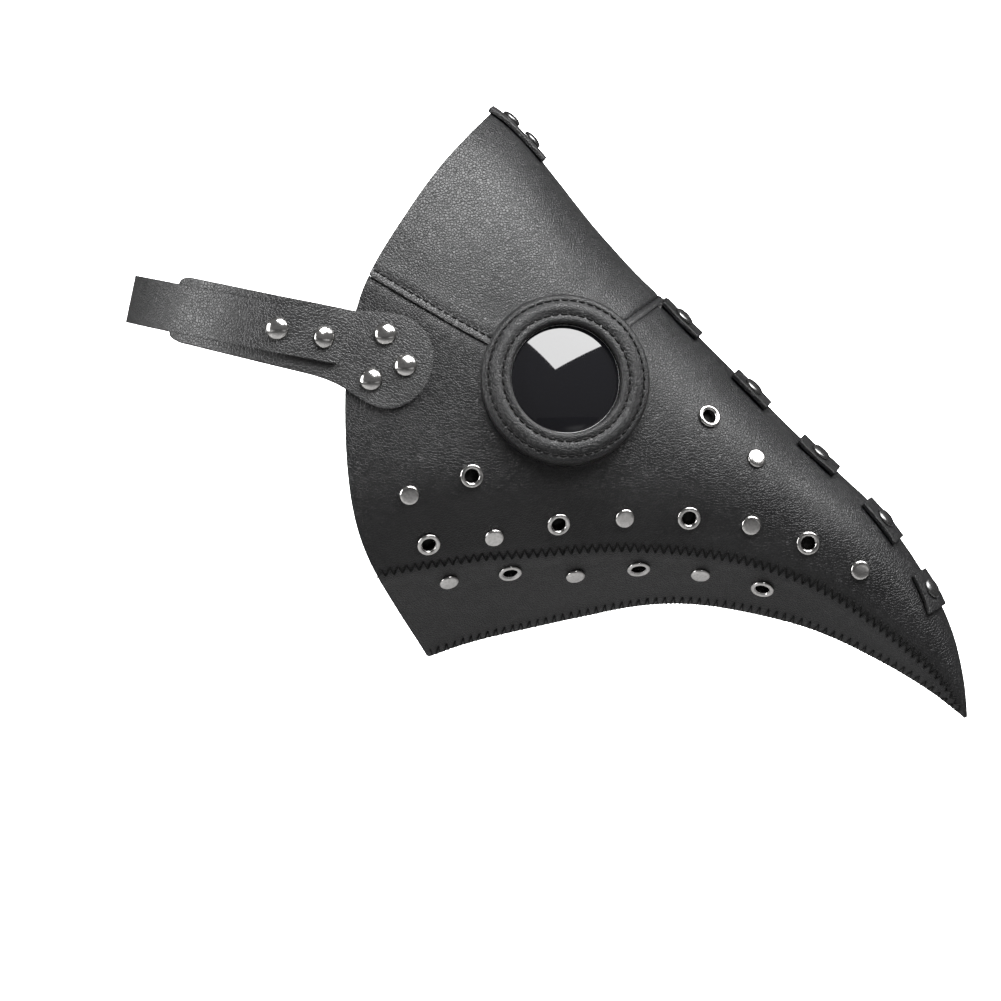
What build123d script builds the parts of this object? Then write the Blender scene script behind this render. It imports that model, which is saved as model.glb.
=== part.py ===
from build123d import *
import math
import os
import numpy as np

# Plague doctor mask in leather, millimetres.
# +X forward along the beak, +Z up, the wearer's right side is -Y.
# Origin: on the middle plane at eye height, inside the face opening.

# ---------------------------------------------------------------- driving dimensions
LEATHER = 1.8          # thickness of every panel and strap
SKIN_GAP = 0.1         # air under a leather piece that lies on another one

# Cross sections of the mask, from the back to the tip of the beak. Each one lies in a
# plane through the ridge point, the keel point and the Y direction.
# ridge x, ridge z, keel x, keel z, level of the widest point and of the jaw seam (as
# fractions from ridge to keel), half width there and at the seam, roundness of the ridge
SECTIONS = [
    (-50.0, 131.0, -50.0, -134.0, 0.630, 0.824, 71.0, 60.0, 0.56),
    (0.0, 124.0, 0.0, -117.5, 0.655, 0.840, 71.0, 54.0, 0.58),
    (26.0, 111.7, 22.0, -110.5, 0.660, 0.843, 67.5, 49.5, 0.60),
    (48.0, 89.5, 48.0, -104.2, 0.630, 0.843, 61.5, 46.0, 0.60),
    (70.6, 60.9, 70.0, -99.5, 0.580, 0.829, 54.5, 42.0, 0.55),
    (98.3, 31.5, 90.0, -96.2, 0.530, 0.811, 47.5, 37.5, 0.47),
    (128.0, 2.0, 112.0, -96.0, 0.480, 0.777, 41.0, 33.5, 0.41),
    (155.4, -25.2, 135.0, -99.5, 0.440, 0.731, 34.0, 29.0, 0.38),
    (184.0, -52.0, 160.9, -106.7, 0.420, 0.707, 27.0, 23.5, 0.37),
    (207.5, -83.2, 187.0, -118.5, 0.420, 0.701, 18.0, 16.0, 0.38),
    (221.3, -113.0, 207.0, -130.0, 0.420, 0.660, 9.5, 8.5, 0.42),
    (225.1, -135.7, 219.0, -138.8, 0.450, 0.600, 3.4, 3.0, 0.48),
    (225.6, -142.6, 224.4, -143.3, 0.480, 0.600, 0.8, 0.7, 0.50),
]

# Free rear edge of the mask, from the crown down the temple to the chin (x, z)
REAR_EDGE = [
    (26.0, 111.0), (5.0, 88.6), (-12.6, 63.8), (-26.9, 38.6), (-34.0, 10.0),
    (-35.2, -18.0), (-33.6, -45.0), (-28.6, -68.5), (-14.0, -97.0), (-0.4, -118.5),
]
# Lower edge of the forehead panel, from the temple over the eye to the ridge (x, z)
BROW_SEAM = [(-25.4, 42.0), (22.3, 14.3), (40.0, 4.0), (56.0, 0.0), (74.0, 13.5), (99.5, 32.6)]

# Eye window: ring, lens and the retainer behind it
EYE_CENTRE = (56.1, -1.7)
EYE_AXIS = (0.185, -0.966, 0.180)
RING_RADIUS = 36.0
RING_TOP = 7.0
WINDOW_RADIUS = 23.3
SEAT_RADIUS = 25.2

# Hardware
FLAT_CAP_RADIUS = 4.2
FLAT_CAP_HEIGHT = 1.3
DOME_RADIUS = 4.75
DOME_HEIGHT = 2.9
SHANK_RADIUS = 1.5
EYELET_RADIUS = 5.0
EYELET_BORE = 3.0
EYELET_BARREL = 3.4
WASHER_THICKNESS = 0.7

# Hardware positions on one side of the mask (x, z)
UPPER_RIVETS = [(-8.4, -49.6), (26.9, -67.2), (81.5, -59.2), (134.4, -62.2), (180.2, -81.0), (136.5, -34.4)]
UPPER_EYELETS = [(17.6, -41.6), (-0.4, -70.1), (53.8, -61.7), (108.4, -59.2), (158.3, -69.7), (116.8, -16.8)]
LOWER_RIVETS = [(8.0, -85.7), (60.9, -83.2), (113.4, -82.7)]
LOWER_EYELETS = [(33.6, -81.9), (87.4, -80.2), (139.4, -88.6)]

# Tabs across the ridge: section index where each one begins and ends, and half width
RIDGE_TABS = [(98.3, 113.0), (128.1, 142.0), (155.8, 170.9), (184.0, 197.4), (206.5, 215.0)]
TAB_HALF_WIDTH = 11.8
TAB_RIVET_Y = 6.3
CROWN_TAB = (26.2, 47.9)
CROWN_RIVETS = (32.5, 41.0)

# Head strap: a band round the back of the head, in a plane that rises towards the back
STRAP_WIDTH = 20.0
STRAP_RISE = 11.8
STRAP_FRONT = (-36.0, 14.0)
HEAD_SIDE = 76.5
HEAD_TURN_X = -58.0
HEAD_BACK = 64.0
TEMPLE_DRAW_IN = 0.009
PADDLE_OUTLINE = [
    (-31.5, 26.9), (-21.0, 26.4), (-11.8, 25.0), (-3.8, 20.4), (0.8, 12.2), (0.9, 2.9),
    (-2.9, -5.5), (-10.1, -11.9), (-18.1, -13.7), (-25.6, -11.3), (-34.4, -5.8), (-43.7, -1.0), (-56.0, 2.6),
]
PADDLE_TAIL_HALF = 13.6
PADDLE_RIVETS = [(-18.5, 17.2), (-10.1, 4.2), (-24.4, -1.7)]
STRAP_RIVETS_X = (-63.0, -45.4)

# ---------------------------------------------------------------- the shape of the mask


def spline_slopes(t, f):
    """Second derivatives of the natural cubic spline through the rows of f."""
    n = len(t)
    a = np.eye(n)
    b = np.zeros(f.shape)
    for i in range(1, n - 1):
        h0 = t[i] - t[i - 1]
        h1 = t[i + 1] - t[i]
        a[i, i - 1:i + 2] = (h0, 2.0 * (h0 + h1), h1)
        b[i] = 6.0 * ((f[i + 1] - f[i]) / h1 - (f[i] - f[i - 1]) / h0)
    return np.linalg.solve(a, b)


ROWS = np.array(SECTIONS)
MIDDLES = (ROWS[:, 0:2] + ROWS[:, 2:4]) / 2.0
ALONG = np.concatenate([[0.0], np.cumsum(np.linalg.norm(np.diff(MIDDLES, axis=0), axis=1))])
BEND = spline_slopes(ALONG, ROWS)


def section(u):
    """Section values at distance u along the middle line of the mask."""
    i = int(np.clip(np.searchsorted(ALONG, u) - 1, 0, len(ALONG) - 2))
    h = ALONG[i + 1] - ALONG[i]
    a = (ALONG[i + 1] - u) / h
    b = (u - ALONG[i]) / h
    curve = (a ** 3 - a) * BEND[i] + (b ** 3 - b) * BEND[i + 1]
    return a * ROWS[i] + b * ROWS[i + 1] + curve * h * h / 6.0


def outline(row, v):
    """Level (fraction from ridge to keel) and half width at v: 0 ridge, 1 seam, 2 keel."""
    level, seam, wide, seam_wide, round_ridge = row[4:9]
    if v <= 0.6:
        t = v / 0.6
        s = 1.0 - t
        f = level * (3.0 * s * t * t * 0.45 + t ** 3)
        y = wide * (3.0 * s * s * t * round_ridge + 3.0 * s * t * t + t ** 3)
        return f, y
    if v <= 1.0:
        t = (v - 0.6) / 0.4
        return level + (seam - level) * t, wide - (wide - seam_wide) * t * t
    t = v - 1.0
    return seam + (1.0 - seam) * t, seam_wide * (1.0 - t)


def skin(u, v, side=-1.0):
    """Point on the outer surface of the mask."""
    row = section(u)
    f, y = outline(row, v)
    return np.array([row[0] + f * (row[2] - row[0]), side * y, row[1] + f * (row[3] - row[1])])


def skin_normal(u, v, side=-1.0):
    """Outward unit normal of the outer surface."""
    du = 0.01
    dv = 0.0005
    v0 = max(v - dv, 0.0)
    v1 = v + dv
    if v == 1.0:
        v1 = 1.0
    along = skin(u + du, v, side) - skin(u - du, v, side)
    across = skin(u, v1, side) - skin(u, v0, side)
    n = np.cross(along, across) * side
    return n / np.linalg.norm(n)


def moved(u, v, depth, side=-1.0):
    """Skin point moved inwards by depth, inside its own section plane."""
    row = section(u)
    down = np.array([row[2] - row[0], 0.0, row[3] - row[1]])
    down = down / np.linalg.norm(down)
    out = np.array([0.0, 1.0, 0.0])
    n = skin_normal(u, v, side)
    p = skin(u, v, side)
    if v == 0.0 or v == 2.0:
        return p - down * depth / np.dot(n, down)
    if v == 1.0:
        m = skin_normal(u, 1.001, side)
        grid = np.array([[np.dot(n, down), np.dot(n, out)], [np.dot(m, down), np.dot(m, out)]])
        d = np.linalg.solve(grid, np.array([-depth, -depth]))
        return p + down * d[0] + out * d[1]
    flat = np.array([np.dot(n, down), np.dot(n, out)])
    d = -depth * flat / np.dot(flat, flat)
    return p + down * d[0] + out * d[1]


def taper(u):
    """Leather thickness, thinned where the beak closes to its tip."""
    return min(LEATHER, 0.42 * section(u)[6])


def spot(x, z):
    """Section and level (u, v) of the skin point seen from the side at x, z."""
    def miss(u):
        row = section(u)
        return (row[2] - row[0]) * (z - row[1]) - (row[3] - row[1]) * (x - row[0])
    lo = 0.0
    hi = ALONG[-1]
    rising = miss(hi) > miss(lo)
    for _ in range(50):
        mid = 0.5 * (lo + hi)
        if (miss(mid) > 0.0) == rising:
            hi = mid
        else:
            lo = mid
    u = 0.5 * (lo + hi)
    row = section(u)
    span = np.array([row[2] - row[0], row[3] - row[1]])
    f = float(np.dot(np.array([x - row[0], z - row[1]]), span) / np.dot(span, span))
    lo = 0.0
    hi = 2.0
    for _ in range(50):
        mid = 0.5 * (lo + hi)
        if outline(row, mid)[0] < f:
            lo = mid
        else:
            hi = mid
    return u, 0.5 * (lo + hi)


def frame_at(x, z, side=-1.0, lift=0.0):
    """Plane on the outer surface at side position x, z; its Z points outwards."""
    u, v = spot(x, z)
    n = skin_normal(u, v, side)
    p = skin(u, v, side) + n * lift
    return Plane(origin=tuple(p), x_dir=(n[2], 0.0, -n[0]), z_dir=tuple(n))


def ridge_u(x):
    """Section whose ridge point is at x."""
    lo = 0.0
    hi = ALONG[-1]
    for _ in range(50):
        mid = 0.5 * (lo + hi)
        if section(mid)[0] < x:
            lo = mid
        else:
            hi = mid
    return 0.5 * (lo + hi)


# ---------------------------------------------------------------- building blocks


def stations(first, last):
    """Section positions for a loft: the given sections with one between each pair."""
    marks = [first, last]
    for i in range(len(ALONG)):
        marks.append(ALONG[i])
        if i + 1 < len(ALONG):
            marks.append(0.5 * (ALONG[i] + ALONG[i + 1]))
    keep = sorted(m for m in marks if first <= m <= last)
    thinned = [keep[0]]
    for m in keep[1:]:
        if m - thinned[-1] > 1.5:
            thinned.append(m)
    thinned[-1] = last
    return thinned


def curve(points):
    return Edge.make_spline([Vector(*p) for p in points])


def line(a, b):
    return Edge.make_line(Vector(*a), Vector(*b))


def half_shell(v_from, v_to, first, last, side):
    """Leather panel between two levels on one side of the mask."""
    wires = []
    for u in stations(first, last):
        steps = [v_from + (v_to - v_from) * i / 12.0 for i in range(13)]
        if v_from == 1.0:
            steps = [1.0, 2.0]
        outer = [moved(u, v, 0.0, side) for v in steps]
        inner = [moved(u, v, taper(u), side) for v in steps]
        if v_from == 1.0:
            edges = [line(outer[0], outer[1]), line(outer[1], inner[1]), line(inner[1], inner[0])]
            edges.append(line(inner[0], outer[0]))
        else:
            edges = [curve(outer), line(outer[-1], inner[-1]), curve(inner[::-1]), line(inner[0], outer[0])]
        wires.append(Wire(edges))
    return Solid.make_loft(wires)


def over_ridge(v_to, inside, outside, first, last):
    """Leather piece that runs over the ridge from one side to the other."""
    wires = []
    for u in stations(first, last):
        steps = [v_to * i / 10.0 for i in range(10, 0, -1)]
        low = [moved(u, v, inside, -1.0) for v in steps] + [moved(u, 0.0, inside)]
        low += [moved(u, v, inside, 1.0) for v in steps[::-1]]
        top = [moved(u, v, outside, -1.0) for v in steps] + [moved(u, 0.0, outside)]
        top += [moved(u, v, outside, 1.0) for v in steps[::-1]]
        edges = [curve(top), line(top[-1], low[-1]), curve(low[::-1]), line(low[0], top[0])]
        wires.append(Wire(edges))
    return Solid.make_loft(wires)


def half_body(side, depth=0.0):
    """One half of the mask as a full solid, to cut pieces that lie on it."""
    wires = []
    for u in stations(0.0, ALONG[10]):
        steps = [i / 12.0 for i in range(13)]
        flank = [moved(u, v, depth, side) for v in steps]
        keel = moved(u, 2.0, depth, side)
        wires.append(Wire([curve(flank), line(flank[-1], keel), line(keel, flank[0])]))
    return Solid.make_loft(wires)


def side_prism(points, smooth, closing, y0, y1):
    """Solid with a side outline: a smooth run through points, closed by straight lines."""
    run = [Vector(x, 0.0, z) for x, z in points]
    if smooth:
        edges = [Edge.make_spline(run)]
    else:
        edges = [Edge.make_line(a, b) for a, b in zip(run[:-1], run[1:])]
    corners = [run[-1]] + [Vector(x, 0.0, z) for x, z in closing] + [run[0]]
    edges += [Edge.make_line(a, b) for a, b in zip(corners[:-1], corners[1:])]
    face = Face(Wire(edges))
    return Solid.extrude(face.moved(Location((0.0, y0, 0.0))), Vector(0.0, y1 - y0, 0.0))


def solid_of(shape):
    """The largest solid of a result."""
    return max(shape.solids(), key=lambda s: s.volume)


def cut_all(shape, tools):
    for tool in tools:
        shape = solid_of(shape - tool)
    return shape


def revolve_profile(plane, points):
    """Solid of revolution about the plane's Z from (radius, height) corners."""
    corners = [Vector(r, 0.0, h) for r, h in points]
    wire = Wire([Edge.make_line(a, b) for a, b in zip(corners, corners[1:] + corners[:1])])
    solid = Solid.revolve(Face(wire), 360.0, Axis.Z)
    return solid.moved(plane.location)


def rod(plane, radius, low, high):
    return Solid.make_cylinder(radius, high - low, Plane(origin=(0, 0, low))).moved(plane.location)


# ---------------------------------------------------------------- hardware


def seats(planes, radius, depth):
    """Flat seats in the leather for the caps on it and for the plates behind it."""
    tops = [rod(p, radius + 0.1, -0.01, 3.0) for p in planes]
    backs = [rod(p, radius + 0.1, -depth - 3.0, 0.01 - depth) for p in planes]
    return tops + backs


def flat_rivet(plane, through):
    """Flat cap with a bevelled rim, its shank passing through the leather."""
    r = FLAT_CAP_RADIUS
    h = FLAT_CAP_HEIGHT
    profile = [(0.0, h), (r - 1.1, h), (r - 0.3, h - 0.35), (r, 0.3), (r, 0.0), (SHANK_RADIUS, 0.0)]
    profile += [(SHANK_RADIUS, -through), (0.0, -through)]
    return revolve_profile(plane, profile)


def dome_rivet(plane, through):
    """Domed cap with its shank."""
    profile = [(0.0, DOME_HEIGHT)]
    for i in range(1, 6):
        a = math.radians(90.0 - 15.0 * i)
        profile.append((DOME_RADIUS * math.cos(a), 0.5 + (DOME_HEIGHT - 0.5) * math.sin(a)))
    profile += [(DOME_RADIUS, 0.5), (DOME_RADIUS, 0.0), (SHANK_RADIUS, 0.0)]
    profile += [(SHANK_RADIUS, -through), (0.0, -through)]
    return revolve_profile(plane, profile)


def rivet_washer(plane, depth):
    """Back plate on the inside of the leather, with the shank in its hole."""
    r = 4.0
    low = -depth - WASHER_THICKNESS
    return revolve_profile(plane, [(SHANK_RADIUS, -depth), (r, -depth), (r, low), (SHANK_RADIUS, low)])


def eyelet(plane, through):
    """Rolled flange and barrel of an open eyelet."""
    b = EYELET_BORE
    r = EYELET_RADIUS
    profile = [(b, 0.7), (b + 0.4, 1.0), (r - 0.7, 1.0), (r - 0.1, 0.6), (r, 0.0), (EYELET_BARREL, 0.0)]
    profile += [(EYELET_BARREL, -through), (b, -through)]
    return revolve_profile(plane, profile)


def eyelet_washer(plane, depth):
    r = EYELET_RADIUS - 0.2
    low = -depth - WASHER_THICKNESS
    b = EYELET_BARREL
    return revolve_profile(plane, [(b, -depth), (r, -depth), (r, low), (b, low)])


# ---------------------------------------------------------------- eye window


def eye_plane(side):
    """Axis of one eye window, through the skin below its ring."""
    u, v = spot(*EYE_CENTRE)
    p = skin(u, v, side)
    axis = (EYE_AXIS[0], side * abs(EYE_AXIS[1]), EYE_AXIS[2])
    return Plane(origin=tuple(p), x_dir=(axis[2], 0.0, -axis[0]), z_dir=axis)


def eye_ring(side, body):
    """Padded leather ring whose underside follows the mask."""
    r = RING_RADIUS
    t = RING_TOP
    w = WINDOW_RADIUS
    s = SEAT_RADIUS
    profile = [(s, -20.0), (r, -20.0), (r, t - 4.2), (r - 1.0, t - 2.2), (r - 3.0, t - 0.6), (r - 5.0, t)]
    profile += [(w + 2.6, t), (w + 0.8, t - 0.6), (w, t - 2.0), (w, 2.9), (s, 2.9)]
    ring = revolve_profile(eye_plane(side), profile)
    return solid_of(ring - body)


def lens(side):
    """Domed glossy lens with a flat rim that sits in the ring's seat."""
    r = SEAT_RADIUS - 0.2
    w = WINDOW_RADIUS - 0.3
    profile = [(0.0, 6.2)]
    profile += [(w * i / 6.0, 2.8 + 3.4 * (1.0 - (i / 6.0) ** 2)) for i in range(1, 7)]
    profile += [(r, 2.8), (r, 0.8), (w, 0.8)]
    profile += [(w * i / 6.0, 0.8 + 3.4 * (1.0 - (i / 6.0) ** 2)) for i in range(5, -1, -1)]
    return revolve_profile(eye_plane(side), profile)


def lens_retainer(side):
    """Ring that holds the lens from behind."""
    r = SEAT_RADIUS - 0.1
    return revolve_profile(eye_plane(side), [(21.0, 0.7), (r, 0.7), (r, -2.6), (21.0, -2.6)])


# ---------------------------------------------------------------- strap path

RISE = math.radians(STRAP_RISE)
ACROSS = np.array([math.sin(RISE), 0.0, math.cos(RISE)])


def head_curve():
    """Right half of the strap path in plan (x, distance from the middle plane)."""
    points = []
    for i in range(61):
        a = math.radians(90.0 * i / 60.0)
        points.append((HEAD_TURN_X - HEAD_BACK * math.cos(a), HEAD_SIDE * math.sin(a)))
    for i in range(1, 41):
        x = HEAD_TURN_X + 1.6 * i
        points.append((x, HEAD_SIDE - TEMPLE_DRAW_IN * (x - HEAD_TURN_X) ** 2))
    return np.array(points)


HALF_PATH = head_curve()
STEP = np.stack([HALF_PATH[:, 0] / math.cos(RISE), HALF_PATH[:, 1]], axis=1)
REACH = np.concatenate([[0.0], np.cumsum(np.linalg.norm(np.diff(STEP, axis=0), axis=1))])


def wrap_base(s, q):
    """Point on the surface that the straps lie on: s from the back centre, q across."""
    side = 1.0 if s >= 0.0 else -1.0
    x = float(np.interp(abs(s), REACH, HALF_PATH[:, 0]))
    y = float(np.interp(abs(s), REACH, HALF_PATH[:, 1]))
    z = STRAP_FRONT[1] - (x - STRAP_FRONT[0]) * math.tan(RISE)
    p = np.array([x, 0.0, z]) + ACROSS * q
    b = float(np.clip((p[0] + 62.0) / 36.0, 0.0, 1.0))
    b = b * b * (3.0 - 2.0 * b)
    if b > 0.0:
        u, v = spot(max(p[0], SECTIONS[0][0] + 0.1), p[2])
        y = (1.0 - b) * y + b * abs(skin(u, v)[1])
    return np.array([p[0], side * y, p[2]])


def wrap(s, q, h):
    """Wrap point lifted off the surface by h."""
    d = 0.5
    along = wrap_base(s + d, q) - wrap_base(s - d, q)
    over = wrap_base(s, q + d) - wrap_base(s, q - d)
    n = np.cross(over, along)
    n = n / np.linalg.norm(n)
    return wrap_base(s, q) + n * h


def s_at(x, side):
    """Path position where the strap's middle line passes x."""
    return side * float(np.interp(x, HALF_PATH[:, 0], REACH))


def wrap_plane(s, q, h):
    """Plane on a strap, Z outwards, X backwards along the strap."""
    d = 0.5
    along = wrap_base(s + d, q) - wrap_base(s - d, q)
    over = wrap_base(s, q + d) - wrap_base(s, q - d)
    n = np.cross(over, along)
    n = n / np.linalg.norm(n)
    p = wrap_base(s, q) + n * h
    return Plane(origin=tuple(p), x_dir=tuple(along), z_dir=tuple(n))


def curved_strip(s_list, half, low, high):
    """Strip of leather on the wrap surface between heights low and high."""
    wires = []
    for s in s_list:
        qs = [half * (i - 3) / 3.0 for i in range(7)]
        top = [wrap(s, q, high) for q in qs]
        bottom = [wrap(s, q, low) for q in qs]
        edges = [curve(top), line(top[-1], bottom[-1]), curve(bottom[::-1]), line(bottom[0], top[0])]
        wires.append(Wire(edges))
    return Solid.make_loft(wires)


def ribbon(centre, thickness, half, ruled=False):
    """Flat strip with straight cross lines along a path of (s, h) points."""
    middle = [wrap(s, 0.0, h) for s, h in centre]
    wires = []
    for i, p in enumerate(middle):
        a = middle[max(i - 1, 0)]
        b = middle[min(i + 1, len(middle) - 1)]
        w = wrap(centre[i][0], 1.0, 0.0) - wrap(centre[i][0], -1.0, 0.0)
        w = w / np.linalg.norm(w) * half
        n = np.cross(w, b - a)
        n = n / np.linalg.norm(n) * thickness / 2.0
        corners = [p - w - n, p + w - n, p + w + n, p - w + n]
        wires.append(Wire([line(m, k) for m, k in zip(corners, corners[1:] + corners[:1])]))
    return Solid.make_loft(wires, ruled)


def spread(first, last, count):
    return [first + (last - first) * i / (count - 1.0) for i in range(count)]


# ---------------------------------------------------------------- panels


def rear_keep(y0, y1):
    """Everything in front of the free rear edge."""
    return side_prism(REAR_EDGE, True, [(0.0, -160.0), (260.0, -160.0), (260.0, 160.0), (26.0, 160.0)], y0, y1)


def above_brow(y0, y1):
    """Everything above the forehead panel's lower edge."""
    first = BROW_SEAM[0]
    last = BROW_SEAM[-1]
    lead = (first[0] - 20.0, first[1] + 11.7)
    run = [lead] + BROW_SEAM + [(last[0] + 3.0, last[1] + 2.2)]
    return side_prism(run, False, [(last[0] + 3.0, 160.0), (lead[0], 160.0)], y0, y1)


def forehead_panel():
    shell = over_ridge(0.72, LEATHER, 0.0, ALONG[0] + 1.0, ridge_u(106.0))
    shell = solid_of(shell & rear_keep(-100.0, 100.0))
    shell = solid_of(shell & above_brow(-100.0, 100.0))
    return shell


def side_panel(side):
    shell = half_shell(0.0, 1.0, ALONG[0] + 1.0, ALONG[-1], side)
    y0, y1 = (-100.0, 1.0) if side < 0 else (-1.0, 100.0)
    shell = solid_of(shell & rear_keep(y0, y1))
    return solid_of(shell - above_brow(y0, y1))


def jaw_panel(side):
    shell = half_shell(1.0, 2.0, ALONG[0] + 1.0, ALONG[-1], side)
    y0, y1 = (-100.0, 1.0) if side < 0 else (-1.0, 100.0)
    return solid_of(shell & rear_keep(y0, y1))


# ---------------------------------------------------------------- tabs on the ridge


def ridge_frame(x, lift):
    """Plane on the ridge at x: X along the ridge towards the tip, Z outwards."""
    u = ridge_u(x)
    n = skin_normal(u, 0.0)
    n[1] = 0.0
    n = n / np.linalg.norm(n)
    p = skin(u, 0.0) + n * lift
    return Plane(origin=tuple(p), x_dir=(n[2], 0.0, -n[0]), z_dir=tuple(n))


def ridge_tab(strip, x0, x1, half):
    a = skin(ridge_u(x0), 0.0)
    b = skin(ridge_u(x1), 0.0)
    length = float(np.linalg.norm(b - a))
    plane = ridge_frame(0.5 * (x0 + x1), 0.0)
    block = Solid.make_box(length, 2.0 * half, 30.0, Plane(origin=(-length / 2.0, -half, -22.0)))
    block = block.fillet(2.0, block.edges().filter_by(Axis.Z))
    return solid_of(strip & block.moved(plane.location))


def level_at(u, y):
    """Level v on section u where the half width is y, above the widest point."""
    lo = 0.0
    hi = 0.6
    for _ in range(40):
        mid = 0.5 * (lo + hi)
        if outline(section(u), mid)[1] < y:
            lo = mid
        else:
            hi = mid
    return 0.5 * (lo + hi)


def tab_rivet_plane(x, y, lift):
    """Plane on a tab at ridge position x and sideways distance y."""
    plane = ridge_frame(x, 0.0)
    side = -1.0 if y <= 0.0 else 1.0
    lo = max(ridge_u(x) - 12.0, 0.0)
    hi = ridge_u(x) + 12.0
    for _ in range(40):
        u = 0.5 * (lo + hi)
        v = level_at(u, abs(y))
        if plane.to_local_coords(Vector(*skin(u, v, side))).X < 0.0:
            lo = u
        else:
            hi = u
    n = skin_normal(u, v, side)
    p = skin(u, v, side) + n * lift
    return Plane(origin=tuple(p), x_dir=(n[2], 0.0, -n[0]), z_dir=tuple(n))


# ---------------------------------------------------------------- straps and buckle


def paddle_keep(side):
    """Side outline of a strap paddle."""
    half = PADDLE_TAIL_HALF
    mid = np.array([STRAP_FRONT[0], STRAP_FRONT[1]])
    back = np.array([-math.cos(RISE), math.sin(RISE)])
    up = np.array([math.sin(RISE), math.cos(RISE)])
    tail_end = 71.0
    corners = []
    for along, across in [(tail_end - 4.0, -half), (tail_end, -half + 4.0), (tail_end, half - 4.0), (tail_end - 4.0, half)]:
        p = mid + back * along + up * across
        corners.append((float(p[0]), float(p[1])))
    y0, y1 = (-100.0, -20.0) if side < 0 else (20.0, 100.0)
    return side_prism(PADDLE_OUTLINE, True, corners, y0, y1)


def strap_paddle(side):
    marks = spread(s_at(-107.0, side), s_at(3.0, side), 17)
    low = SKIN_GAP
    plate = curved_strip(marks, 28.0, low, low + LEATHER)
    return solid_of(plate & paddle_keep(side))


# Heights above the wrap surface
PADDLE_TOP = SKIN_GAP + LEATHER
STRAP_LOW = PADDLE_TOP + 0.15
STRAP_TOP = STRAP_LOW + LEATHER
BAR_RADIUS = 1.3
BAR_HEIGHT = STRAP_TOP + BAR_RADIUS + 0.25
BAR_GAP = 18.5
BUCKLE_HALF = 13.4
KEEPER_LEATHER = 1.2
S_BAR = s_at(-84.0, 1.0)
S_FAR = S_BAR - BAR_GAP
S_KEEPER = S_BAR + 23.0
RAISED_MID = 4.9
KEEPER_AT = S_KEEPER - 1.2
HOLES_BEHIND = (S_FAR - 14.0, S_FAR - 28.0, S_FAR - 42.0)
KEPT_MID = RAISED_MID + LEATHER + 0.3


def back_strap():
    """Band from the right paddle round the head and through the buckle to its free end."""
    mid = LEATHER / 2.0
    first = s_at(STRAP_FRONT[0], -1.0)
    path = [(s, STRAP_LOW + mid) for s in spread(first, S_FAR + 2.0, 60)]
    over = BAR_HEIGHT + BAR_RADIUS + LEATHER + 0.45 + mid
    path += [(S_FAR + 6.0, STRAP_LOW + mid + 0.9), (S_FAR + 10.5, 0.5 * (STRAP_LOW + mid + over))]
    path += [(S_BAR - 4.0, over - 0.9), (S_BAR, over), (S_BAR + 4.0, over - 0.5), (S_BAR + 9.0, over - 1.6)]
    path += [(S_BAR + 13.0, KEPT_MID + 0.9), (S_BAR + 17.0, KEPT_MID + 0.25)]
    path += [(s, KEPT_MID) for s in spread(S_KEEPER - 3.0, S_KEEPER + 11.0, 8)]
    band = ribbon(path, LEATHER, STRAP_WIDTH / 2.0, True)
    tip = rod(wrap_plane(S_KEEPER + 3.0, 0.0, 0.0), 14.0, 0.0, 14.0)
    blunt = slot(S_KEEPER - 60.0, S_KEEPER + 3.0, 40.0, -90.0, 90.0)
    rest = slot(S_KEEPER + 3.0, S_KEEPER + 40.0, 40.0, 0.0, 14.0)
    return solid_of(band - (rest - blunt - tip))


def slot(s0, s1, half, low, high):
    """Straight-sided block that crosses the strap between two path positions."""
    plane = wrap_plane(0.5 * (s0 + s1), 0.0, 0.0)
    length = abs(s1 - s0)
    block = Solid.make_box(length, 2.0 * half, high - low, Plane(origin=(-length / 2.0, -half, low)))
    return block.moved(plane.location)


def buckle_strap():
    """Short strap on the left paddle, folded round the buckle's bar and slotted for the prong."""
    mid = LEATHER / 2.0
    lying = STRAP_LOW + mid
    path = [(s, lying) for s in spread(S_KEEPER + 29.0, S_KEEPER + 14.0, 8)]
    path += [(S_KEEPER + 10.5, RAISED_MID - 0.8)]
    path += [(s, RAISED_MID) for s in spread(S_KEEPER + 8.5, S_KEEPER - 5.5, 7)]
    path += [(S_BAR + 13.5, lying + 0.1), (S_BAR + 10.0, lying), (S_BAR + 6.5, lying), (S_BAR + 3.0, lying)]
    turn = BAR_RADIUS + 0.12 + mid
    for a in (-70.0, -45.0, -15.0, 15.0, 45.0, 75.0):
        t = math.radians(a)
        path.append((S_BAR - turn * math.cos(t), BAR_HEIGHT + turn * math.sin(t)))
    path += [(S_BAR + 2.0, BAR_HEIGHT + turn - 0.1), (S_BAR + 5.0, BAR_HEIGHT + turn - 1.1)]
    path += [(S_BAR + 8.0, STRAP_TOP + mid + 0.6), (S_BAR + 12.0, STRAP_TOP + mid + 0.25)]
    strap = ribbon(path, LEATHER, STRAP_WIDTH / 2.0 - 0.2, True)
    return solid_of(strap - slot(S_BAR - 5.0, S_BAR + 3.6, 2.2, -2.0, 12.0))


def buckle_plane():
    """Plane through both bars of the buckle: X from the bar to the far side."""
    a = wrap(S_BAR, 0.0, BAR_HEIGHT)
    b = wrap(S_FAR, 0.0, BAR_HEIGHT)
    x = b - a
    n = np.cross(x, ACROSS)
    if n[1] < 0.0:
        n = -n
    return Plane(origin=tuple(a), x_dir=tuple(x), z_dir=tuple(n)), float(np.linalg.norm(x))


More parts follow.
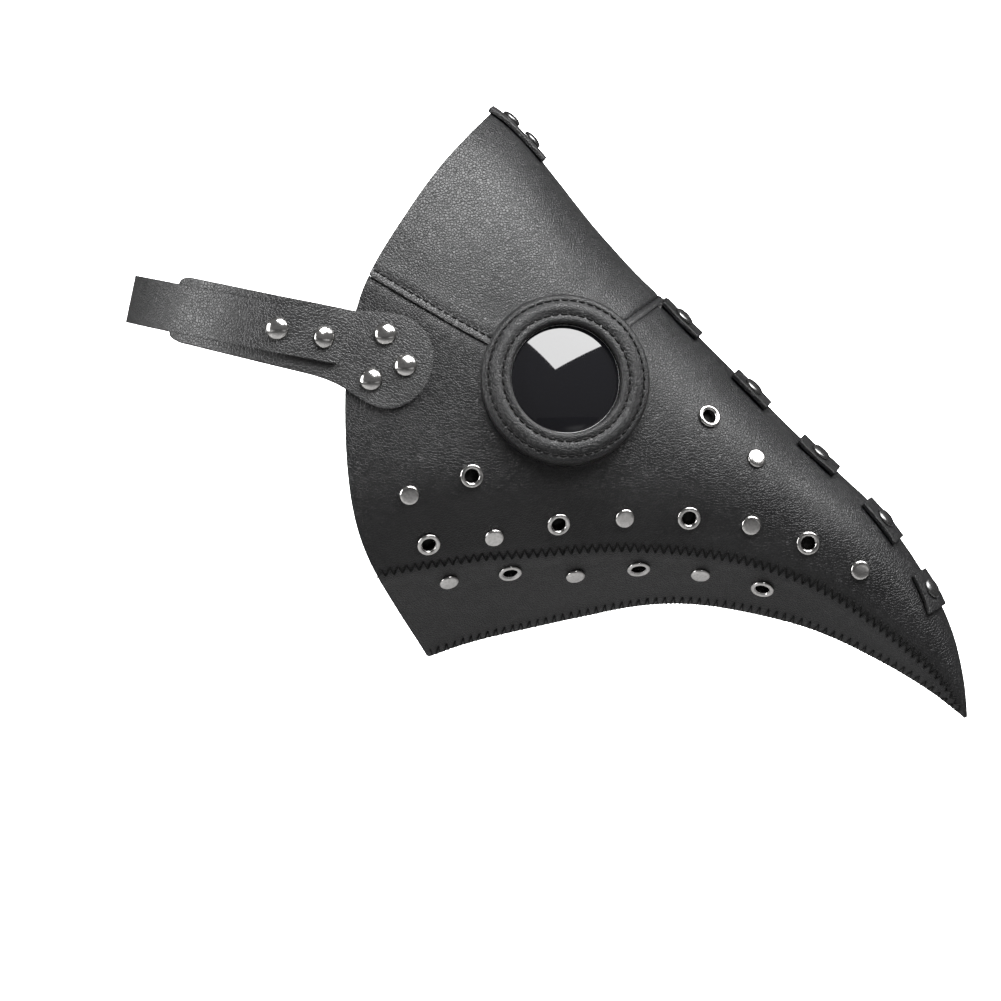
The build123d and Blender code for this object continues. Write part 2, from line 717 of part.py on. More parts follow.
def buckle_frame():
    """Wire frame with rounded corners, 2.6 mm wire."""
    plane, span = buckle_plane()
    w = BUCKLE_HALF - BAR_RADIUS
    corners = RectangleRounded(span, 2.0 * w, 3.0).faces()[0].outer_wire()
    corners = corners.moved(Location((span / 2.0, 0.0, 0.0)))
    start = corners.position_at(0.0)
    tangent = corners.tangent_at(0.0)
    ring = Face(Wire.make_circle(BAR_RADIUS, Plane(origin=start, z_dir=tangent)))
    frame = Solid.sweep(ring, corners)
    return frame.moved(plane.location)


def buckle_prong():
    """Tongue: an eye round the bar and a shaft that rests on the far bar."""
    plane, span = buckle_plane()
    eye_in = BAR_RADIUS + 0.06
    eye = Solid.make_cylinder(2.45, 3.4, Plane(origin=(0, 1.7, 0), z_dir=(0, -1, 0)))
    hole = Solid.make_cylinder(eye_in, 4.0, Plane(origin=(0, 2.0, 0), z_dir=(0, -1, 0)))
    lift = BAR_RADIUS + 0.08 + 1.0
    knots = [(1.6, 1.3), (5.0, 1.9), (span - 5.0, lift), (span + 0.8, lift), (span + 3.2, lift - 0.5)]
    wires = [Wire.make_circle(1.0, Plane(origin=(x, 0, z), z_dir=(1, 0, 0))) for x, z in knots]
    shaft = Solid.make_loft(wires, True)
    tongue = solid_of((eye + shaft) - hole)
    return tongue.moved(plane.location)


def keeper_block(h0, h1, half, length):
    """Closed block across the strap at the keeper's place, between heights h0 and h1."""
    marks = spread(KEEPER_AT - length / 2.0, KEEPER_AT + length / 2.0, 4)
    wires = []
    for s in marks:
        low = wrap(s, 0.0, h0)
        top = wrap(s, 0.0, h1)
        w = ACROSS * half
        corners = [low - w, low + w, top + w, top - w]
        wires.append(Wire([line(m, k) for m, k in zip(corners, corners[1:] + corners[:1])]))
    return Solid.make_loft(wires)


def strap_keeper():
    low = STRAP_LOW + 0.15
    inner_low = low + KEEPER_LEATHER
    inner_top = KEPT_MID + LEATHER / 2.0 + 0.35
    outer = keeper_block(low, inner_top + KEEPER_LEATHER, STRAP_WIDTH / 2.0 + 0.4 + KEEPER_LEATHER, 8.0)
    inner = keeper_block(inner_low, inner_top, STRAP_WIDTH / 2.0 + 0.4, 12.0)
    return solid_of(outer - inner)


# ---------------------------------------------------------------- assembly of the nodes


def build():
    nodes = {}
    tab_strip = over_ridge(0.42, -0.25, -0.25 - LEATHER, ridge_u(20.0), ALONG[-2] - 1.0)
    tabs = [ridge_tab(tab_strip, a, b, TAB_HALF_WIDTH) for a, b in RIDGE_TABS]
    crown = ridge_tab(tab_strip, CROWN_TAB[0], CROWN_TAB[1], 12.5)
    lift = 0.25 + LEATHER + 0.12
    tab_planes = []
    for a, b in RIDGE_TABS:
        for y in (-TAB_RIVET_Y, TAB_RIVET_Y):
            tab_planes.append(tab_rivet_plane(0.5 * (a + b), y, lift))
    crown_planes = [ridge_frame(x, lift - 0.05) for x in CROWN_RIVETS]
    tab_depth = lift + LEATHER + 0.3
    tab_holes = [rod(p, SHANK_RADIUS, -tab_depth - 2.0, 1.0) for p in tab_planes]
    crown_holes = [rod(p, SHANK_RADIUS, -tab_depth - 2.0, 1.0) for p in crown_planes]
    for i, tab in enumerate(tabs):
        nodes["ridge_tab_%d" % (i + 1)] = cut_all(tab, tab_holes[2 * i:2 * i + 2])
    nodes["crown_tab"] = cut_all(crown, crown_holes)
    short = tab_depth + WASHER_THICKNESS
    nodes["ridge_tab_rivets"] = [flat_rivet(p, short) for p in tab_planes]
    nodes["ridge_tab_rivet_washers"] = [rivet_washer(p, tab_depth) for p in tab_planes]
    nodes["crown_tab_rivets"] = [flat_rivet(p, short) for p in crown_planes]
    nodes["crown_tab_rivet_washers"] = [rivet_washer(p, tab_depth) for p in crown_planes]

    forehead = forehead_panel()
    eye_holes = [rod(eye_plane(s), SEAT_RADIUS, -30.0, 20.0) for s in (-1.0, 1.0)]
    forehead = cut_all(forehead, eye_holes + crown_holes)
    nodes["forehead_panel"] = forehead

    for side, name in ((-1.0, "right"), (1.0, "left")):
        body = half_body(side)
        panel = solid_of(side_panel(side) - eye_holes[0 if side < 0 else 1])
        jaw = jaw_panel(side)
        depth = LEATHER + 0.3
        skin_planes = {
            "upper_rivets": [frame_at(x, z, side, 0.02) for x, z in UPPER_RIVETS],
            "upper_eyelets": [frame_at(x, z, side, 0.02) for x, z in UPPER_EYELETS],
            "lower_rivets": [frame_at(x, z, side, 0.02) for x, z in LOWER_RIVETS],
            "lower_eyelets": [frame_at(x, z, side, 0.02) for x, z in LOWER_EYELETS],
        }
        for row, planes in skin_planes.items():
            if row.endswith("rivets"):
                nodes["%s_%s" % (row, name)] = [flat_rivet(p, depth + WASHER_THICKNESS) for p in planes]
                washers = [rivet_washer(p, depth) for p in planes]
                nodes["%s_%s" % (row.replace("rivets", "rivet_washers"), name)] = washers
                holes = [rod(p, SHANK_RADIUS, -8.0, 2.0) for p in planes]
                holes += seats(planes, FLAT_CAP_RADIUS, depth)
            else:
                nodes["%s_%s" % (row, name)] = [eyelet(p, depth + WASHER_THICKNESS) for p in planes]
                washers = [eyelet_washer(p, depth) for p in planes]
                nodes["%s_%s" % (row.replace("eyelets", "eyelet_washers"), name)] = washers
                holes = [rod(p, EYELET_BARREL, -8.0, 2.0) for p in planes]
                holes += seats(planes, EYELET_RADIUS, depth)
            if row.startswith("upper"):
                panel = cut_all(panel, holes)
            else:
                jaw = cut_all(jaw, holes)
        near_tabs = [tab_holes[i] for i in range(len(tab_holes)) if (i % 2 == 1) == (side > 0)]
        tab_backs = [rod(p, 4.1, -tab_depth - 3.0, 0.01 - tab_depth) for p in tab_planes]
        near_tabs += [tab_backs[i] for i in range(len(tab_backs)) if (i % 2 == 1) == (side > 0)]
        panel = cut_all(panel, near_tabs)

        paddle = strap_paddle(side)
        stack = SKIN_GAP + LEATHER + 0.1
        paddle_planes = [frame_at(x, z, side, stack) for x, z in PADDLE_RIVETS]
        paddle_depth = stack + LEATHER + 0.3
        paddle_holes = [rod(p, SHANK_RADIUS, -paddle_depth - 2.0, 2.0) for p in paddle_planes]
        paddle = cut_all(paddle, paddle_holes)
        panel = cut_all(panel, paddle_holes)
        nodes["paddle_rivets_" + name] = [dome_rivet(p, paddle_depth + WASHER_THICKNESS) for p in paddle_planes]
        nodes["paddle_rivet_washers_" + name] = [rivet_washer(p, paddle_depth) for p in paddle_planes]
        nodes["strap_paddle_" + name] = paddle
        nodes["side_panel_" + name] = panel
        nodes["jaw_panel_" + name] = jaw
        nodes["eye_ring_" + name] = eye_ring(side, body)
        nodes["lens_" + name] = lens(side)
        nodes["lens_retainer_" + name] = lens_retainer(side)

    # right end of the back strap, riveted through the paddle's tail
    strap = back_strap()
    strap_planes = [wrap_plane(s_at(x, -1.0), 0.0, STRAP_TOP + 0.1) for x in STRAP_RIVETS_X]
    strap_depth = STRAP_TOP + 0.1 - SKIN_GAP + 0.1
    strap_holes = [rod(p, SHANK_RADIUS, -strap_depth - 1.5, 2.0) for p in strap_planes]
    adjusting = [rod(wrap_plane(s, 0.0, STRAP_LOW), 1.5, -4.0, 8.0) for s in HOLES_BEHIND]
    adjusting += [rod(wrap_plane(S_BAR + 14.5, 0.0, KEPT_MID), 1.5, -1.5, 4.0)]
    prong_slot = slot(S_BAR - 11.5, S_BAR - 2.6, 1.7, -1.0, 14.0)
    cap_seats = [rod(p, DOME_RADIUS + 0.1, -0.01, 3.0) for p in strap_planes]
    strap = cut_all(strap, strap_holes + adjusting + [prong_slot] + cap_seats)
    nodes["strap_paddle_right"] = cut_all(nodes["strap_paddle_right"], strap_holes)
    nodes["strap_rivets"] = [dome_rivet(p, strap_depth + WASHER_THICKNESS) for p in strap_planes]
    nodes["strap_rivet_washers"] = [rivet_washer(p, strap_depth) for p in strap_planes]
    nodes["back_strap"] = strap

    # left side: the short strap that carries the buckle
    short_strap = buckle_strap()
    s_rivets = (S_KEEPER + 17.0, S_KEEPER + 25.5)
    left_planes = [wrap_plane(s, 0.0, STRAP_TOP + 0.1) for s in s_rivets]
    left_holes = [rod(p, SHANK_RADIUS, -strap_depth - 3.5, 1.0) for p in left_planes]
    cap_seats = [rod(p, DOME_RADIUS + 0.1, -0.01, 3.0) for p in left_planes]
    short_strap = cut_all(short_strap, left_holes + cap_seats)
    nodes["strap_paddle_left"] = cut_all(nodes["strap_paddle_left"], left_holes)
    nodes["buckle_strap_rivets"] = [dome_rivet(p, strap_depth + WASHER_THICKNESS) for p in left_planes]
    nodes["buckle_strap"] = short_strap
    nodes["buckle_frame"] = buckle_frame()
    nodes["buckle_prong"] = buckle_prong()
    nodes["strap_keeper"] = strap_keeper()
    return nodes


def main():
    os.makedirs("parts", exist_ok=True)
    for name, shape in build().items():
        if isinstance(shape, list):
            shape = Compound(children=shape)
        export_step(shape, "parts/%s.step" % name)


main()
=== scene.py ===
import bmesh
import bpy
import math
import random
import numpy as np
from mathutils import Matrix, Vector


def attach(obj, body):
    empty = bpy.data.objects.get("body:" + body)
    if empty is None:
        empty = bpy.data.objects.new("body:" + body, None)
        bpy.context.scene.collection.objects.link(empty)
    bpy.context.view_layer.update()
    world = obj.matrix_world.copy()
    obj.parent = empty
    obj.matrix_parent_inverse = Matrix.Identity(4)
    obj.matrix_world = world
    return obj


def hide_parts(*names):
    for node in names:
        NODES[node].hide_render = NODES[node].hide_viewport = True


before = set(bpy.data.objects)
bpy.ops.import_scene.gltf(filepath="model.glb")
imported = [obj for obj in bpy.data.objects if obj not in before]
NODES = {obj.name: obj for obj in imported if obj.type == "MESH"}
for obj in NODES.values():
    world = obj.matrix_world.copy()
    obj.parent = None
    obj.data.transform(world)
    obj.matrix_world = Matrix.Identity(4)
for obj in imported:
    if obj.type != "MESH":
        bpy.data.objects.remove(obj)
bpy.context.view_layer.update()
MM = 0.001
SIDES = ((-1.0, "right"), (1.0, "left"))
# sizes of this model alone, millimetres
WELD_DISTANCE = 0.02
EYE_HOLE = 26.5
EYELET_HOLE = 3.9
CAP_LIFT = 0.3
TAB_EXTRA = 1.8
TAB_RIVET_EXTRA = 1.6
STITCH_PITCH = 3.6
STRAP_RIVET_LIFT = 0.08

# ------------------------------------------------------------------ shape of the mask
# The same sections as the solid model, millimetres: ridge x, z, keel x, z, level of the
# widest point and of the jaw seam, half widths there, roundness of the ridge.
SECTIONS = np.array([
    (-50.0, 131.0, -50.0, -134.0, 0.630, 0.824, 71.0, 60.0, 0.56),
    (0.0, 124.0, 0.0, -117.5, 0.655, 0.840, 71.0, 54.0, 0.58),
    (26.0, 111.7, 22.0, -110.5, 0.660, 0.843, 67.5, 49.5, 0.60),
    (48.0, 89.5, 48.0, -104.2, 0.630, 0.843, 61.5, 46.0, 0.60),
    (70.6, 60.9, 70.0, -99.5, 0.580, 0.829, 54.5, 42.0, 0.55),
    (98.3, 31.5, 90.0, -96.2, 0.530, 0.811, 47.5, 37.5, 0.47),
    (128.0, 2.0, 112.0, -96.0, 0.480, 0.777, 41.0, 33.5, 0.41),
    (155.4, -25.2, 135.0, -99.5, 0.440, 0.731, 34.0, 29.0, 0.38),
    (184.0, -52.0, 160.9, -106.7, 0.420, 0.707, 27.0, 23.5, 0.37),
    (207.5, -83.2, 187.0, -118.5, 0.420, 0.701, 18.0, 16.0, 0.38),
    (221.3, -113.0, 207.0, -130.0, 0.420, 0.660, 9.5, 8.5, 0.42),
    (225.1, -135.7, 219.0, -138.8, 0.450, 0.600, 3.4, 3.0, 0.48),
    (225.6, -142.6, 224.4, -143.3, 0.480, 0.600, 0.8, 0.7, 0.50),
])
LEATHER = 1.8
REAR_EDGE = [
    (26.0, 111.0), (5.0, 88.6), (-12.6, 63.8), (-26.9, 38.6), (-34.0, 10.0),
    (-35.2, -18.0), (-33.6, -45.0), (-28.6, -68.5), (-14.0, -97.0), (-0.4, -118.5),
]
BROW_SEAM = [(-25.4, 42.0), (22.3, 14.3), (40.0, 6.0), (56.0, 3.0), (74.0, 13.5), (99.5, 32.6)]
EYE_CENTRE = (56.1, -1.7)
EYE_AXIS = (0.185, -0.966, 0.180)
RING_RADIUS = 36.0
RING_TOP = 7.0
WINDOW_RADIUS = 23.3
UPPER_RIVETS = [(-8.4, -49.6), (26.9, -67.2), (81.5, -59.2), (134.4, -62.2), (180.2, -81.0), (136.5, -34.4)]
UPPER_EYELETS = [(17.6, -41.6), (-0.4, -70.1), (53.8, -61.7), (108.4, -59.2), (158.3, -69.7), (116.8, -16.8)]
LOWER_RIVETS = [(8.0, -85.7), (60.9, -83.2), (113.4, -82.7)]
LOWER_EYELETS = [(33.6, -81.9), (87.4, -80.2), (139.4, -88.6)]
RIDGE_TABS = [(98.3, 113.0), (128.1, 142.0), (155.8, 170.9), (184.0, 197.4), (206.5, 215.0)]
TAB_HALF_WIDTH = 11.8
TAB_RIVET_Y = 6.3
CROWN_TAB = (26.2, 47.9)
CROWN_RIVETS = (32.5, 41.0)
STRAP_WIDTH = 20.0
RISE = math.radians(11.8)
STRAP_FRONT = (-36.0, 14.0)
HEAD_SIDE = 76.5
HEAD_TURN_X = -58.0
HEAD_BACK = 64.0
TEMPLE_DRAW_IN = 0.009
PADDLE_OUTLINE = [
    (-31.5, 26.9), (-21.0, 26.4), (-11.8, 25.0), (-3.8, 20.4), (0.8, 12.2), (0.9, 2.9),
    (-2.9, -5.5), (-10.1, -11.9), (-18.1, -13.7), (-25.6, -11.3), (-34.4, -5.8), (-43.7, -1.0), (-56.0, 2.6),
]
PADDLE_TAIL_HALF = 13.6
PADDLE_RIVETS = [(-18.5, 17.2), (-10.1, 4.2), (-24.4, -1.7)]
STRAP_RIVETS_X = (-63.0, -45.4)


def spline_bends(t, f):
    n = len(t)
    a = np.eye(n)
    b = np.zeros(f.shape)
    for i in range(1, n - 1):
        h0 = t[i] - t[i - 1]
        h1 = t[i + 1] - t[i]
        a[i, i - 1:i + 2] = (h0, 2.0 * (h0 + h1), h1)
        b[i] = 6.0 * ((f[i + 1] - f[i]) / h1 - (f[i] - f[i - 1]) / h0)
    return np.linalg.solve(a, b)


def spline_at(t, f, bend, x):
    """Natural cubic spline through f at the places x."""
    x = np.asarray(x, float)
    i = np.clip(np.searchsorted(t, x) - 1, 0, len(t) - 2)
    h = (t[i + 1] - t[i])[..., None]
    a = (t[i + 1] - x)[..., None] / h
    b = (x - t[i])[..., None] / h
    return a * f[i] + b * f[i + 1] + ((a ** 3 - a) * bend[i] + (b ** 3 - b) * bend[i + 1]) * h * h / 6.0


def lengths(p):
    """Length reached at each point of a run."""
    return np.concatenate([[0.0], np.cumsum(np.linalg.norm(np.diff(p, axis=0), axis=1))])


def read_run(want, reach, run):
    return np.stack([np.interp(want, reach, run[:, k]) for k in range(run.shape[1])], axis=1)


def smooth_run(points, count):
    """Evenly spaced points on a smooth curve through the given ones."""
    p = np.array(points, float)
    t = lengths(p)
    fine = spline_at(t, p, spline_bends(t, p), np.linspace(0.0, t[-1], 40 * len(p)))
    reach = lengths(fine)
    want = np.linspace(0.0, reach[-1], count)
    return read_run(want, reach, fine)


MIDDLES = (SECTIONS[:, 0:2] + SECTIONS[:, 2:4]) / 2.0
ALONG = lengths(MIDDLES)
BEND = spline_bends(ALONG, SECTIONS)
U_END = ALONG[-1]


def section(u):
    return spline_at(ALONG, SECTIONS, BEND, u)


def outline(row, v):
    """Level and half width at v: 0 ridge, 1 jaw seam, 2 keel."""
    level, seam, wide, seam_wide, crown = (row[..., k] for k in range(4, 9))
    t = np.clip(v / 0.6, 0.0, 1.0)
    s = 1.0 - t
    f1 = level * (1.35 * s * t * t + t ** 3)
    y1 = wide * (3.0 * s * s * t * crown + 3.0 * s * t * t + t ** 3)
    t = np.clip((v - 0.6) / 0.4, 0.0, 1.0)
    f2 = level + (seam - level) * t
    y2 = wide - (wide - seam_wide) * t * t
    t = v - 1.0
    f3 = seam + (1.0 - seam) * t
    y3 = seam_wide * (1.0 - t)
    level_at = np.where(v <= 0.6, f1, np.where(v <= 1.0, f2, f3))
    return level_at, np.where(v <= 0.6, y1, np.where(v <= 1.0, y2, y3))


def skin(u, v, side=-1.0):
    u, v = np.broadcast_arrays(np.asarray(u, float), np.asarray(v, float))
    row = section(u)
    f, y = outline(row, v)
    x = row[..., 0] + f * (row[..., 2] - row[..., 0])
    z = row[..., 1] + f * (row[..., 3] - row[..., 1])
    return np.stack([x, side * y, z], axis=-1)


def unit(a):
    return a / np.maximum(np.linalg.norm(a, axis=-1, keepdims=True), 1e-12)


def skin_normal(u, v, side=-1.0, below=False):
    """Outward normal; below picks the jaw's side of the seam where v is 1."""
    u, v = np.broadcast_arrays(np.asarray(u, float), np.asarray(v, float))
    v0 = np.maximum(v - 0.002, 0.0)
    v1 = v + 0.002
    if below:
        v0 = np.where(v <= 1.001, np.maximum(v0, 1.0), v0)
        v1 = np.maximum(v1, 1.002)
    else:
        v1 = np.where(v <= 1.0, np.minimum(v1, 1.0), v1)
    along = skin(np.minimum(u + 0.05, U_END), v, side) - skin(np.maximum(u - 0.05, 0.0), v, side)
    across = skin(u, v1, side) - skin(u, v0, side)
    n = unit(np.cross(along, across) * side)
    flat = (v < 1e-6)[..., None]
    m = n.copy()
    m[..., 1] = 0.0
    return np.where(flat, unit(m), n)


def halve(higher, lo, hi, rounds=45):
    """Halves the span from lo to hi: higher says where the answer lies above the middle."""
    for _ in range(rounds):
        mid = 0.5 * (lo + hi)
        up = higher(mid)
        lo = np.where(up, mid, lo)
        hi = np.where(up, hi, mid)
    return 0.5 * (lo + hi)


def spot(x, z):
    """(u, v) of the skin points seen from the side at x, z."""
    x = np.maximum(np.asarray(x, float), SECTIONS[0, 0] + 0.1)
    z = np.asarray(z, float)

    def ahead(mid):
        row = section(mid)
        across, down = row[..., 2] - row[..., 0], row[..., 3] - row[..., 1]
        return across * (z - row[..., 1]) - down * (x - row[..., 0]) > 0.0

    u = halve(ahead, np.zeros(x.shape), np.full(x.shape, U_END))
    row = section(u)
    dx = row[..., 2] - row[..., 0]
    dz = row[..., 3] - row[..., 1]
    f = ((x - row[..., 0]) * dx + (z - row[..., 1]) * dz) / (dx * dx + dz * dz)
    return u, halve(lambda mid: outline(row, mid)[0] < f, np.zeros(x.shape), np.full(x.shape, 2.0))


def ridge_u(x):
    return float(halve(lambda mid: section(mid)[0] < x, 0.0, float(U_END), 50))


# ------------------------------------------------------------------ smooth noise
def lattice(seed):
    rng = np.random.RandomState(seed)
    return rng.rand(24, 24, 24) * 2.0 - 1.0


def noise(p, scale, seed):
    """Smooth value noise at points p (mm), feature size scale (mm)."""
    g = lattice(seed)
    q = np.asarray(p) / scale + 100.0
    i = np.floor(q).astype(int)
    f = q - i
    f = f * f * (3.0 - 2.0 * f)
    out = 0.0
    for a in (0, 1):
        for b in (0, 1):
            for c in (0, 1):
                w = (f[..., 0] if a else 1 - f[..., 0]) * (f[..., 1] if b else 1 - f[..., 1])
                w = w * (f[..., 2] if c else 1 - f[..., 2])
                out = out + w * g[(i[..., 0] + a) % 24, (i[..., 1] + b) % 24, (i[..., 2] + c) % 24]
    return out


def bump(d, width):
    """Smooth hill of unit height and the given half width."""
    return np.exp(-(d / width) ** 2)


# ------------------------------------------------------------------ mesh helpers
def make_mesh(name, verts, faces):
    """Object from vertices in millimetres."""
    mesh = bpy.data.meshes.new(name)
    mesh.from_pydata([tuple(p) for p in (np.asarray(verts, float) * MM).tolist()], [], faces)
    mesh.validate()
    mesh.update()
    mesh.shade_smooth()
    obj = bpy.data.objects.new(name, mesh)
    bpy.context.scene.collection.objects.link(obj)
    return obj


def grid_faces(rows, cols, flip=False, wrap_cols=False, start=0):
    faces = []
    last = cols if wrap_cols else cols - 1
    for i in range(rows - 1):
        for j in range(last):
            k = (j + 1) % cols
            a, b = start + i * cols + j, start + i * cols + k
            c, d = start + (i + 1) * cols + k, start + (i + 1) * cols + j
            faces.append((a, d, c, b) if flip else (a, b, c, d))
    return faces


def give_thickness(obj, thickness, rim=0.45, segments=2):
    """Turns an outer surface into a piece of leather with softly rounded edges."""
    solid = obj.modifiers.new("thickness", "SOLIDIFY")
    solid.thickness = thickness * MM
    solid.offset = -1.0
    solid.use_even_offset = False
    bevel = obj.modifiers.new("edge", "BEVEL")
    bevel.width = rim * MM
    bevel.segments = segments
    bevel.limit_method = "ANGLE"
    bevel.angle_limit = math.radians(50.0)
    bevel.use_clamp_overlap = True
    return obj


def tubes(name, paths, radius, sides=6):
    """Threads or wires: one mesh of round tubes with flat closed ends along point paths."""
    verts = []
    faces = []
    for path in paths:
        p = np.asarray(path, float)
        n = len(p)
        tangent = unit(np.gradient(p, axis=0))
        ref = np.array([0.0, 0.0, 1.0]) if abs(tangent[0][2]) < 0.9 else np.array([1.0, 0.0, 0.0])
        side_dir = unit(np.cross(tangent, ref))
        up_dir = unit(np.cross(side_dir, tangent))
        base = len(verts)
        for i in range(n):
            for k in range(sides):
                a = 2.0 * math.pi * k / sides
                verts.append(p[i] + (side_dir[i] * math.cos(a) + up_dir[i] * math.sin(a)) * radius)
        for i in range(n - 1):
            for k in range(sides):
                a = base + i * sides + k
                b = base + i * sides + (k + 1) % sides
                c = base + (i + 1) * sides + (k + 1) % sides
                d = base + (i + 1) * sides + k
                faces.append((a, b, c, d))
        faces.append(tuple(base + k for k in range(sides))[::-1])
        faces.append(tuple(base + (n - 1) * sides + k for k in range(sides)))
    return make_mesh(name, verts, faces)


def revolve(name, places, profile, steps=40):
    """Copies of a turned shape: places are (point, normal, x direction)."""
    verts = []
    faces = []
    m = len(profile)
    for point, normal, xdir in places:
        n = unit(np.asarray(normal, float))
        x = unit(np.asarray(xdir, float) - n * np.dot(xdir, n))
        y = np.cross(n, x)
        base = len(verts)
        for k in range(steps):
            a = 2.0 * math.pi * k / steps
            d = x * math.cos(a) + y * math.sin(a)
            for r, h in profile:
                verts.append(point + d * r + n * h)
        faces += grid_faces(steps, m, True, False, base)
        for j in range(m - 1):
            a, b = base + (steps - 1) * m + j, base + (steps - 1) * m + j + 1
            faces.append((a, base + j, base + j + 1, b))
    return make_mesh(name, verts, faces)


def paint(obj, material):
    obj.data.materials.clear()
    obj.data.materials.append(material)


def finish_piece(obj, body, material, replaced=()):
    """Gives a piece its material and body, and hides the CAD nodes it stands for."""
    paint(obj, material)
    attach(obj, body)
    if replaced:
        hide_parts(*replaced)
    return obj


# ------------------------------------------------------------------ materials
def new_material(name):
    """Empty material: itself, its node tree, its shader and the tree's link call."""
    mat = bpy.data.materials.new(name)
    mat.use_nodes = True
    nt = mat.node_tree
    nt.nodes.clear()
    out = nt.nodes.new("ShaderNodeOutputMaterial")
    bsdf = nt.nodes.new("ShaderNodeBsdfPrincipled")
    nt.links.new(bsdf.outputs[0], out.inputs[0])
    return mat, nt, bsdf, nt.links.new


def add(nt, kind, **values):
    node = nt.nodes.new(kind)
    for key, value in values.items():
        if hasattr(node, key):
            setattr(node, key, value)
        else:
            node.inputs[key].default_value = value
    return node


def ramp(nt, source, stops):
    node = nt.nodes.new("ShaderNodeValToRGB")
    nt.links.new(source, node.inputs[0])
    el = node.color_ramp.elements
    while len(el) < len(stops):
        el.new(0.5)
    for e, (pos, col) in zip(el, stops):
        e.position = pos
        e.color = (col, col, col, 1.0) if isinstance(col, float) else (*col, 1.0)
    return node.outputs[0]


def leather(name, dark, light, rough_low, rough_high, grain_mm, depth, specular=0.5):
    """Pebbled, semi-gloss leather: cells for the grain, fine pores and slow changes of tone."""
    mat, nt, bsdf, link = new_material(name)
    co = add(nt, "ShaderNodeTexCoord")
    warp = add(nt, "ShaderNodeTexNoise", Scale=420.0, Detail=2.0)
    link(co.outputs["Object"], warp.inputs["Vector"])
    offset = add(nt, "ShaderNodeVectorMath", operation="MULTIPLY_ADD")
    link(warp.outputs["Color"], offset.inputs[0])
    offset.inputs[1].default_value = (0.0007, 0.0007, 0.0007)
    link(co.outputs["Object"], offset.inputs[2])
    cells = add(nt, "ShaderNodeTexVoronoi", feature="DISTANCE_TO_EDGE", Scale=1000.0 / grain_mm)
    link(offset.outputs[0], cells.inputs["Vector"])
    fine = add(nt, "ShaderNodeTexVoronoi", feature="F1", Scale=2300.0)
    link(offset.outputs[0], fine.inputs["Vector"])
    broad = add(nt, "ShaderNodeTexNoise", Scale=38.0, Detail=5.0)
    link(co.outputs["Object"], broad.inputs["Vector"])
    patch = add(nt, "ShaderNodeTexNoise", Scale=240.0, Detail=4.0)
    link(co.outputs["Object"], patch.inputs["Vector"])
    pebble = ramp(nt, cells.outputs["Distance"], [(0.0, 0.0), (0.14, 0.75), (0.45, 1.0)])
    # colour: painted shade, darker deep in the creases and lighter on the pebbles; a slow drift of tone over
    # the piece
    mix = add(nt, "ShaderNodeMix", data_type="RGBA")
    link(pebble, mix.inputs[0])
    mix.inputs[6].default_value = (*[c * 0.55 for c in dark], 1.0)
    mix.inputs[7].default_value = (*dark, 1.0)
    tone = ramp(nt, broad.outputs["Fac"], [(0.35, 0.0), (0.7, 1.0)])
    mix2 = add(nt, "ShaderNodeMix", data_type="RGBA")
    link(tone, mix2.inputs[0])
    link(mix.outputs[2], mix2.inputs[6])
    mix2.inputs[7].default_value = (*light, 1.0)
    link(mix2.outputs[2], bsdf.inputs["Base Color"])
    rough = add(nt, "ShaderNodeMapRange")
    link(patch.outputs["Fac"], rough.inputs[0])
    rough.inputs[1].default_value = 0.3
    rough.inputs[2].default_value = 0.7
    rough.inputs[3].default_value = rough_low
    rough.inputs[4].default_value = rough_high
    link(rough.outputs[0], bsdf.inputs["Roughness"])
    bump1 = add(nt, "ShaderNodeBump", Strength=depth, Distance=0.00015)
    link(pebble, bump1.inputs["Height"])
    bump2 = add(nt, "ShaderNodeBump", Strength=depth * 0.6, Distance=0.00005)
    link(fine.outputs["Distance"], bump2.inputs["Height"])
    link(bump1.outputs[0], bump2.inputs["Normal"])
    bump3 = add(nt, "ShaderNodeBump", Strength=0.3, Distance=0.0003)
    link(patch.outputs["Fac"], bump3.inputs["Height"])
    link(bump2.outputs[0], bump3.inputs["Normal"])
    link(bump3.outputs[0], bsdf.inputs["Normal"])
    bsdf.inputs["Specular IOR Level"].default_value = specular
    return mat


def metal(name, base, rough, scratch=0.25):
    mat, nt, bsdf, link = new_material(name)
    co = add(nt, "ShaderNodeTexCoord")
    grime = add(nt, "ShaderNodeTexNoise", Scale=900.0, Detail=6.0)
    link(co.outputs["Object"], grime.inputs["Vector"])
    tone = add(nt, "ShaderNodeMix", data_type="RGBA")
    link(ramp(nt, grime.outputs["Fac"], [(0.4, 0.0), (0.75, 1.0)]), tone.inputs[0])
    tone.inputs[6].default_value = (*base, 1.0)
    tone.inputs[7].default_value = (*[c * 0.72 for c in base], 1.0)
    link(tone.outputs[2], bsdf.inputs["Base Color"])
    r = add(nt, "ShaderNodeMapRange")
    link(grime.outputs["Fac"], r.inputs[0])
    r.inputs[3].default_value = rough
    r.inputs[4].default_value = rough + scratch
    link(r.outputs[0], bsdf.inputs["Roughness"])
    dent = add(nt, "ShaderNodeBump", Strength=0.12, Distance=0.00005)
    link(grime.outputs["Fac"], dent.inputs["Height"])
    link(dent.outputs[0], bsdf.inputs["Normal"])
    bsdf.inputs["Metallic"].default_value = 1.0
    return mat


